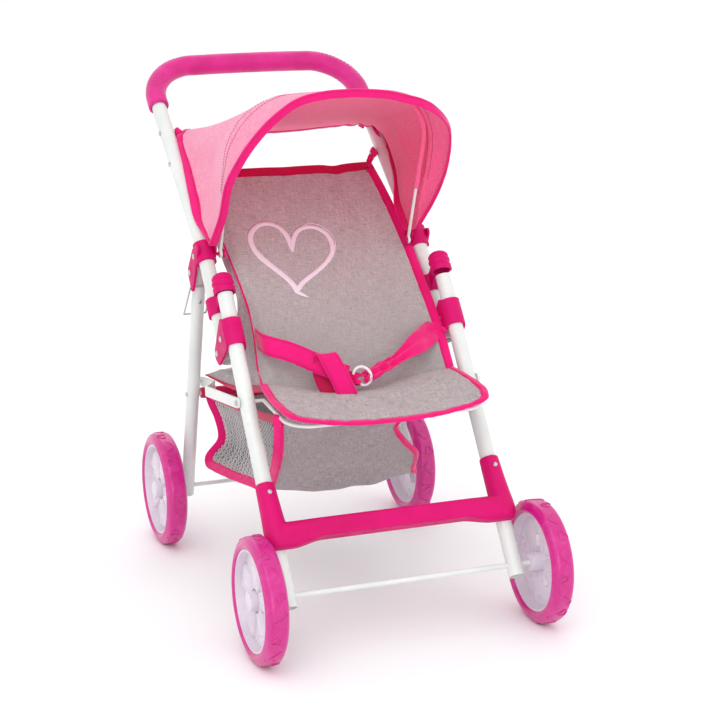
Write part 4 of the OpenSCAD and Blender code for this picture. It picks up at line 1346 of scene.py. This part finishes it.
def strip_surface(u, v):
    y, z, left, right = spline(STRIP, v)
    floor = smooth01((v - 0.3) / 0.1) * (1 - smooth01((v - 0.76) / 0.05))
    front = 1 - smooth01((v - 0.3) / 0.12)
    sag = (1 - u * u)
    p = np.array([(right - left) / 2 + u * (right + left) / 2, SEAT_PIVOT[1] + y, SEAT_PIVOT[2] + z])
    p[2] -= sag * floor * (4.0 + 6.5 * (1 - smooth01((v - 0.4) / 0.25)))
    p[1] += 3.0 * sag * front - 2.5 * front * math.exp(-((abs(u) - 0.7) / 0.2) ** 2)
    p[2] += 9.0 * max(0.0, -u) ** 3 * (1 - smooth01(v / 0.12))
    # slack folds in the front
    p[1] -= 1.8 * front * math.exp(-((u - 0.35 + 0.8 * v) / 0.09) ** 2) + 1.3 * front * math.exp(-((u + 0.45 - v) / 0.12) ** 2)
    p += np.array([0, 1, 1]) * 1.5 * noise.noise(Vector((u * 3.5, v * 7, 5)))
    return p


strip = Sheet(strip_surface, 51, 111)
basket_cloth = strip.shell("basket_cloth", 1.3, M_BASKET)


def net_surface(side):
    """The basket's netting side, between the strip's edge below and the rail above."""
    edge_j = 0 if side < 0 else -1

    def f(u, v):
        a = (u + 1) / 2
        fore = strip.P[int(3 + 44 * v), edge_j]
        aft = strip.P[int(110 - 21 * v), edge_j]
        low = strip.P[int(47 + 42 * a), edge_j]
        rail0 = np.array([side * 109, SEAT_PIVOT[1] - 58, SEAT_PIVOT[2] - 8])
        rail1 = np.array([side * 104, SEAT_PIVOT[1] + 212, SEAT_PIVOT[2] - 40])
        sagline = math.sin(math.pi * a)
        rail = rail0 * (1 - a) + rail1 * a - np.array([0, 0, 3 * sagline])
        c = ((1 - v) * rail + v * low + (1 - a) ** 2.5 * (fore - (1 - v) * rail0 - v * strip.P[47, edge_j])
             + a ** 2.5 * (aft - (1 - v) * rail1 - v * strip.P[89, edge_j]))
        bow = 7.0 * sagline * math.sin(math.pi * v)
        return c - np.array([side * bow, 0, 0])
    return f


NET_COLUMNS, NET_ROWS, NET_STRAND = 60, 36, 0.7


def netting(name, f, cols, rows):
    """Knitted netting: diamond cells in thin strands, from a wire frame over the surface."""
    verts, faces, index = [], [], {}

    def at(i, j):
        if (i, j) not in index:
            index[i, j] = len(verts)
            verts.append(f(i / cols * 2 - 1, j / rows))
        return index[i, j]
    for i in range(0, cols - 1):
        for j in range(0, rows - 1):
            if (i + j) % 2 == 0 and i + 2 <= cols and j + 2 <= rows:
                faces.append((at(i + 1, j), at(i + 2, j + 1), at(i + 1, j + 2), at(i, j + 1)))
    o = build(name, verts, faces, [M_NET], None, None, None, False)
    mod = o.modifiers.new("strands", "WIREFRAME")
    mod.thickness = NET_STRAND * MM
    mod.use_even_offset = False
    bpy.context.view_layer.objects.active = o
    o.select_set(True)
    bpy.ops.object.modifier_apply(modifier="strands")
    o.select_set(False)
    return o


basket_parts = [basket_cloth]
nets = []
for side, word in ((-1, "left"), (1, "right")):
    f = net_surface(side)
    net = netting("basket_net_" + word, f, NET_COLUMNS, NET_ROWS)
    edge_j = 0 if side < 0 else 50
    out = np.array([side, 0.0, 0.0])
    path = strip.P[2:, edge_j]
    tangent = unit(np.gradient(path, axis=0))
    into = np.array([unit(np.cross(t, out)) for t in tangent])
    middle = np.array([side * 100, SEAT_PIVOT[1] + 90, SEAT_PIVOT[2] - 70])
    into *= np.sign(((middle - path) * into).sum(1))[:, None]
    # the bound seam stands out as a fin: back along the front corner, down and back along the rest
    fore = np.array([1 - smooth01((k / 110 - 0.33) / 0.12) for k in range(2, 111)])[:, None]
    fin = unit(out * 0.8 + into * (0.7 * fore - 0.6 * (1 - fore)))
    seam = binding("basket_seam_" + word, (path + fin * (8.5 if side < 0 else 4.5), -fin,
                                           unit(np.cross(tangent, fin))),
                   10.5 if side < 0 else 6.5, 1.5, seed=50 + side, wobble=0.7)
    top = np.array([f(u, 0) for u in np.linspace(-1, 1, 40)])
    down = np.tile(np.array([0, 0, -1.0]), (40, 1))
    top_trim = binding("basket_rim_" + word, (top, down, np.tile(out, (40, 1))), 8.0, 1.3, M_TAPE_DEEP,
                       seed=60 + side, stitched=False)
    basket_parts += [net, seam, top_trim]
    nets.append((net, top_trim, np.array([[f(u, v) for u in np.linspace(-1, 1, 31)] for v in np.linspace(0,
                                                                                                         1, 21)])))
rear_top = strip.edge("high")
basket_parts.append(binding("basket_rear_trim", rear_top, 9, 1.3, M_TAPE_DEEP, seed=70, stitched=False))
for o in basket_parts:
    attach(o, "seat_frame")
    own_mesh(o)
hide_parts("basket")

# The cloth tunnel that the basket's rear edge hangs from.
reach = ARM_X - 9.5
sleeve_path = np.array([(x, CROSS_ROD[1], CROSS_ROD[2]) for x in np.linspace(-reach, reach, 80)])
sleeve = tube("rod_sleeve_cloth", sleeve_path,
              lambda s: 5.6 + 0.5 * math.sin(s * 61) * math.sin(s * 23 + 1) + 0.5, M_TAPE_DEEP, 16)
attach(sleeve, "rear_frame")
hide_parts("rod_sleeve")


# ---------------------------------------------------------------- grip
GRIP_R = 12.0
BAR = np.array([0, frame["record"]["mounts"][0]["pos_m"][1], frame["record"]["mounts"][0]["pos_m"][2]]) / MM
CORNER_R = 54.0
arm_len = np.linalg.norm(BAR - np.array(BEND))


def grip_mesh():
    """Foam over the push bar, a little arched, wrinkled on the inside of its two bends."""
    path, bend_at = [], []
    start = 229.0
    straight = arm_len - CORNER_R
    for s in np.linspace(start, straight, 5)[:-1]:
        path.append((-ARM_X, s))
        bend_at.append(0)
    for g in np.linspace(0, math.pi / 2, 56):
        path.append((-ARM_X + CORNER_R - CORNER_R * math.cos(g), straight + CORNER_R * math.sin(g)))
        bend_at.append(math.sin(2 * g))
    half = [(x, s) for x, s in path]
    flat = [(x, arm_len) for x in np.linspace(-ARM_X + CORNER_R, ARM_X - CORNER_R, 42)[1:-1]]
    whole = half + flat + [(-x, s) for x, s in reversed(half)]
    bends = bend_at + [0] * len(flat) + bend_at[::-1]
    sides = 40
    verts, faces = [], []
    s_, c_ = math.sin(ARM_LEAN), math.cos(ARM_LEAN)
    pts = []
    for x, s in whole:
        arch = 2.7 * (1 - (x / ARM_X) ** 2) if s > straight else 0
        pts.append(np.array(arm_point(x, s + arch * 0.4, 0)) + np.array([0, 0, arch * 0.6]))
    pts = np.array(pts)
    t = unit(np.gradient(pts, axis=0))
    plane = np.array([0, -c_, s_])
    d = np.r_[0, np.cumsum(np.linalg.norm(np.diff(pts, axis=0), axis=1))]
    for i, p in enumerate(pts):
        inner = unit(np.cross(plane, t[i]))
        b = bends[i]
        for k in range(sides):
            g = 2 * math.pi * k / sides
            inside = 0.5 + 0.5 * math.cos(g)
            wrinkle = 0.6 * b * inside ** 0.7 * math.sin(d[i] * 2 * math.pi / 4.4 + 1.3 * noise.noise(Vector((g, d[i] * 0.08, 0))))
            lump = 0.25 * noise.noise(Vector((math.cos(g) * 1.5, math.sin(g) * 1.5, d[i] * 0.05)))
            r = GRIP_R * (1 - 0.02 * b * inside) + wrinkle + lump
            verts.append(p + (inner * math.cos(g) + plane * math.sin(g)) * r)
    n = len(pts)
    for i in range(n - 1):
        for k in range(sides):
            a, b2 = i * sides + k, i * sides + (k + 1) % sides
            faces.append((a, b2, b2 + sides, a + sides))
    # rounded, open ends that turn in to the tube
    base = len(verts)
    for end, i in ((0, 0), (1, n - 1)):
        way = -t[i] if end == 0 else t[i]
        rings_ = [(GRIP_R - 0.5, 1.2), (GRIP_R - 1.6, 1.9), (9.6, 2.0), (9.0, 1.0), (9.0, -6.0)]
        inner = unit(np.cross(plane, t[i]))
        prev = [i * sides + k for k in range(sides)]
        for r, push in rings_:
            cur = []
            for k in range(sides):
                g = 2 * math.pi * k / sides
                cur.append(len(verts))
                verts.append(pts[i] + way * push + (inner * math.cos(g) + plane * math.sin(g)) * r)
            for k in range(sides):
                q = (prev[k], prev[(k + 1) % sides], cur[(k + 1) % sides], cur[k])
                faces.append(q)
            prev = cur
    return build("grip_foam_sleeve", verts, faces, [M_GRIP], None, None, 60)


grip = grip_mesh()
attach(grip, "handle")
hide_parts("handle_grip")


# ---------------------------------------------------------------- cloth knots at the arms
def knot(name, centre, side, size, seed):
    """Tape bunched round a rivet: a gathered lump, two turns of tape round it and the rivet's head."""
    me = bpy.data.meshes.new(name)
    bm = bmesh.new()
    bmesh.ops.create_icosphere(bm, subdivisions=4, radius=1)
    for v in bm.verts:
        p = v.co.copy()
        f = 0.9 + 0.25 * noise.noise(p * 1.9 + Vector((seed, 0,
                                                       0))) + 0.16 * math.sin(p.y * 9 + seed) * (1 - abs(p.x))
        v.co = Vector((p.x * size[0], p.y * size[1], p.z * size[2])) * f * MM + Vector(centre) * MM
    for face in bm.faces:
        face.smooth = True
    bm.to_mesh(me)
    bm.free()
    me.materials.append(M_TAPE)
    lump = bpy.data.objects.new(name, me)
    bpy.context.scene.collection.objects.link(lump)
    parts = [lump]
    for turn_, tilt in ((0.92, 0.25), (0.74, -0.5)):
        ring_ = []
        for k in range(33):
            g = 2 * math.pi * k / 32
            ring_.append(np.array(centre) + np.array([size[0] * (tilt * math.cos(g) + 0.25 * math.sin(2 * g + seed)),
                         size[1] * turn_ * math.cos(g), size[2] * turn_ * math.sin(g)]))
        parts.append(tube(name + "_turn", ring_, lambda s: 1.5 + 0.35 * math.sin(s * 40 + seed), M_TAPE, 10))
    rivet = []
    for x, r in ((0, 0.05), (0.2, 1.4), (0.0, 2.4), (-0.7, 2.6)):
        rivet.append([np.array(centre) + np.array([-side * (size[0] * 0.8 + 1.2 + x), r * math.cos(g),
                                                   r * math.sin(g)])
                      for g in (2 * math.pi * k / 24 for k in range(24))])
    parts.append(loft(name + "_rivet", rivet, M_STEEL))
    return join(name, parts)


knots = []
for node, base in (("hood_clips", "hood_knot"), ("seat_clips", "seat_knot")):
    lo, hi = (np.array(c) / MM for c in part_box(node))
    for side, word in ((-1, "left"), (1, "right")):
        c = np.array([side * (hi[0] - 4.2), (lo[1] + hi[1]) / 2, (lo[2] + hi[2]) / 2])
        o = knot("%s_%s" % (base, word), c, side,
                 (4.0, (hi[1] - lo[1]) / 2 * 0.95, (hi[2] - lo[2]) / 2 * 0.95), 3.0 + side + len(knots))
        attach(o, "handle")
        knots.append(o)
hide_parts("hood_clips")
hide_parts("seat_clips")


# ---------------------------------------------------------------- cloth facts
def smallest_box(P):
    """Sides of the smallest rectangle round a nearly flat surface, in its own best plane."""
    q = P.reshape(-1, 3) - P.reshape(-1, 3).mean(0)
    flat_axes = np.linalg.svd(q, full_matrices=False)[2][:2]
    q = q @ flat_axes.T
    sizes = []
    for g in np.linspace(0, math.pi / 2, 91):
        r = q @ np.array([[math.cos(g), -math.sin(g)], [math.sin(g), math.cos(g)]])
        sizes.append(tuple(float(c) for c in np.ptp(r, axis=0)))
    return sorted(min(sizes, key=lambda c: c[0] * c[1]))


def declare(piece, P, with_pieces=(), tapered=False):
    """The size and area of a cloth's own modelled surface, worked out but neither kept nor returned."""
    P = P * MM
    rows = np.linalg.norm(np.diff(P, axis=1), axis=2).sum(1)
    columns = np.linalg.norm(np.diff(P, axis=0), axis=2).sum(0)
    wide, long_ = smallest_box(P) if tapered else (float(rows.max()), float(columns.max()))
    a, b = P[1:, 1:] - P[:-1, :-1], P[1:, :-1] - P[:-1, 1:]
    area = float(np.linalg.norm(np.cross(a, b), axis=2).sum() / 2)


declare(hood_cloth, hood.P,
        [front_trim, rear_trim, hood_seam, wire_sleeve])
declare(seat_cloth, back.P, [*back_parts[1:], heart_print])
for wing_cloth, wing_trim, w in wings:
    declare(wing_cloth, w.P, [wing_trim], tapered=True)
declare(basket_cloth, strip.P,
        [o for o in basket_parts if "seam" in o.name or "rear" in o.name])
for facing_cloth, w in facings:
    declare(facing_cloth, w.P, tapered=True)
for net, rim, P in nets:
    declare(net, P, [rim])


# ---------------------------------------------------------------- room, light and camera
def area_light(name, at, aim, size, power, colour=(1, 1, 1)):
    data = bpy.data.lights.new(name, "AREA")
    data.energy, data.size, data.color = power, size, colour
    o = bpy.data.objects.new(name, data)
    bpy.context.scene.collection.objects.link(o)
    o.location = at
    o.rotation_mode = "QUATERNION"
    o.rotation_quaternion = (Vector(aim) - Vector(at)).to_track_quat("-Z", "Y")
    return o


floor_mat = Nodes("pale_floor")
floor_at = floor_mat.coords()
floor_mat.colour(floor_mat.mix(floor_mat.noise(floor_at, 3), srgb(252, 252, 253), srgb(250, 250, 251)))
floor_mat.rough(0.9)
me = bpy.data.meshes.new("floor")
me.from_pydata([(-12, -12, 0), (12, -12, 0), (12, 12, 0), (-12, 12, 0)], [], [(0, 1, 2, 3)])
me.materials.append(floor_mat.mat)
floor = bpy.data.objects.new("floor", me)
bpy.context.scene.collection.objects.link(floor)

world = bpy.data.worlds.new("studio")
bpy.context.scene.world = world
world.use_nodes = True
sky = world.node_tree
up = sky.nodes.new("ShaderNodeTexCoord").outputs["Generated"]
height = sky.nodes.new("ShaderNodeSeparateXYZ")
sky.links.new(up, height.inputs[0])
glow = sky.nodes.new("ShaderNodeMapRange")
sky.links.new(height.outputs[2], glow.inputs[0])
for k, value in enumerate((0.0, 1.0, 0.93, 1.1)):
    glow.inputs[k + 1].default_value = value
sky.links.new(glow.outputs[0], sky.nodes["Background"].inputs[1])
sky.nodes["Background"].inputs[0].default_value = (1, 1, 1, 1)
area_light("key", (-1.2, -1.3, 2.2), (0, 0, 0.25), 1.6, 9.5)
area_light("fill", (1.8, -1.6, 1.3), (0, 0, 0.3), 1.8, 2)
area_light("front", (-0.5, -2.3, 0.75), (0, 0, 0.4), 1.2, 7.5)
area_light("back", (0.4, 2.0, 1.9), (0, 0, 0.3), 1.6, 6)
bpy.context.scene.view_settings.view_transform = "Standard"

cam_data = bpy.data.cameras.new("camera")
cam_data.lens, cam_data.sensor_width = 95.8, 36
cam_data.clip_start, cam_data.clip_end = 0.05, 60
camera = bpy.data.objects.new("camera", cam_data)
bpy.context.scene.collection.objects.link(camera)
camera.matrix_world = Matrix(((0.9361, 0.0922, -0.3395, -0.6966), (-0.3518, 0.2454, -0.9033, -1.9548),
                              (0.0, 0.9650, 0.2622, 0.8087), (0, 0, 0, 1)))
bpy.context.scene.camera = camera
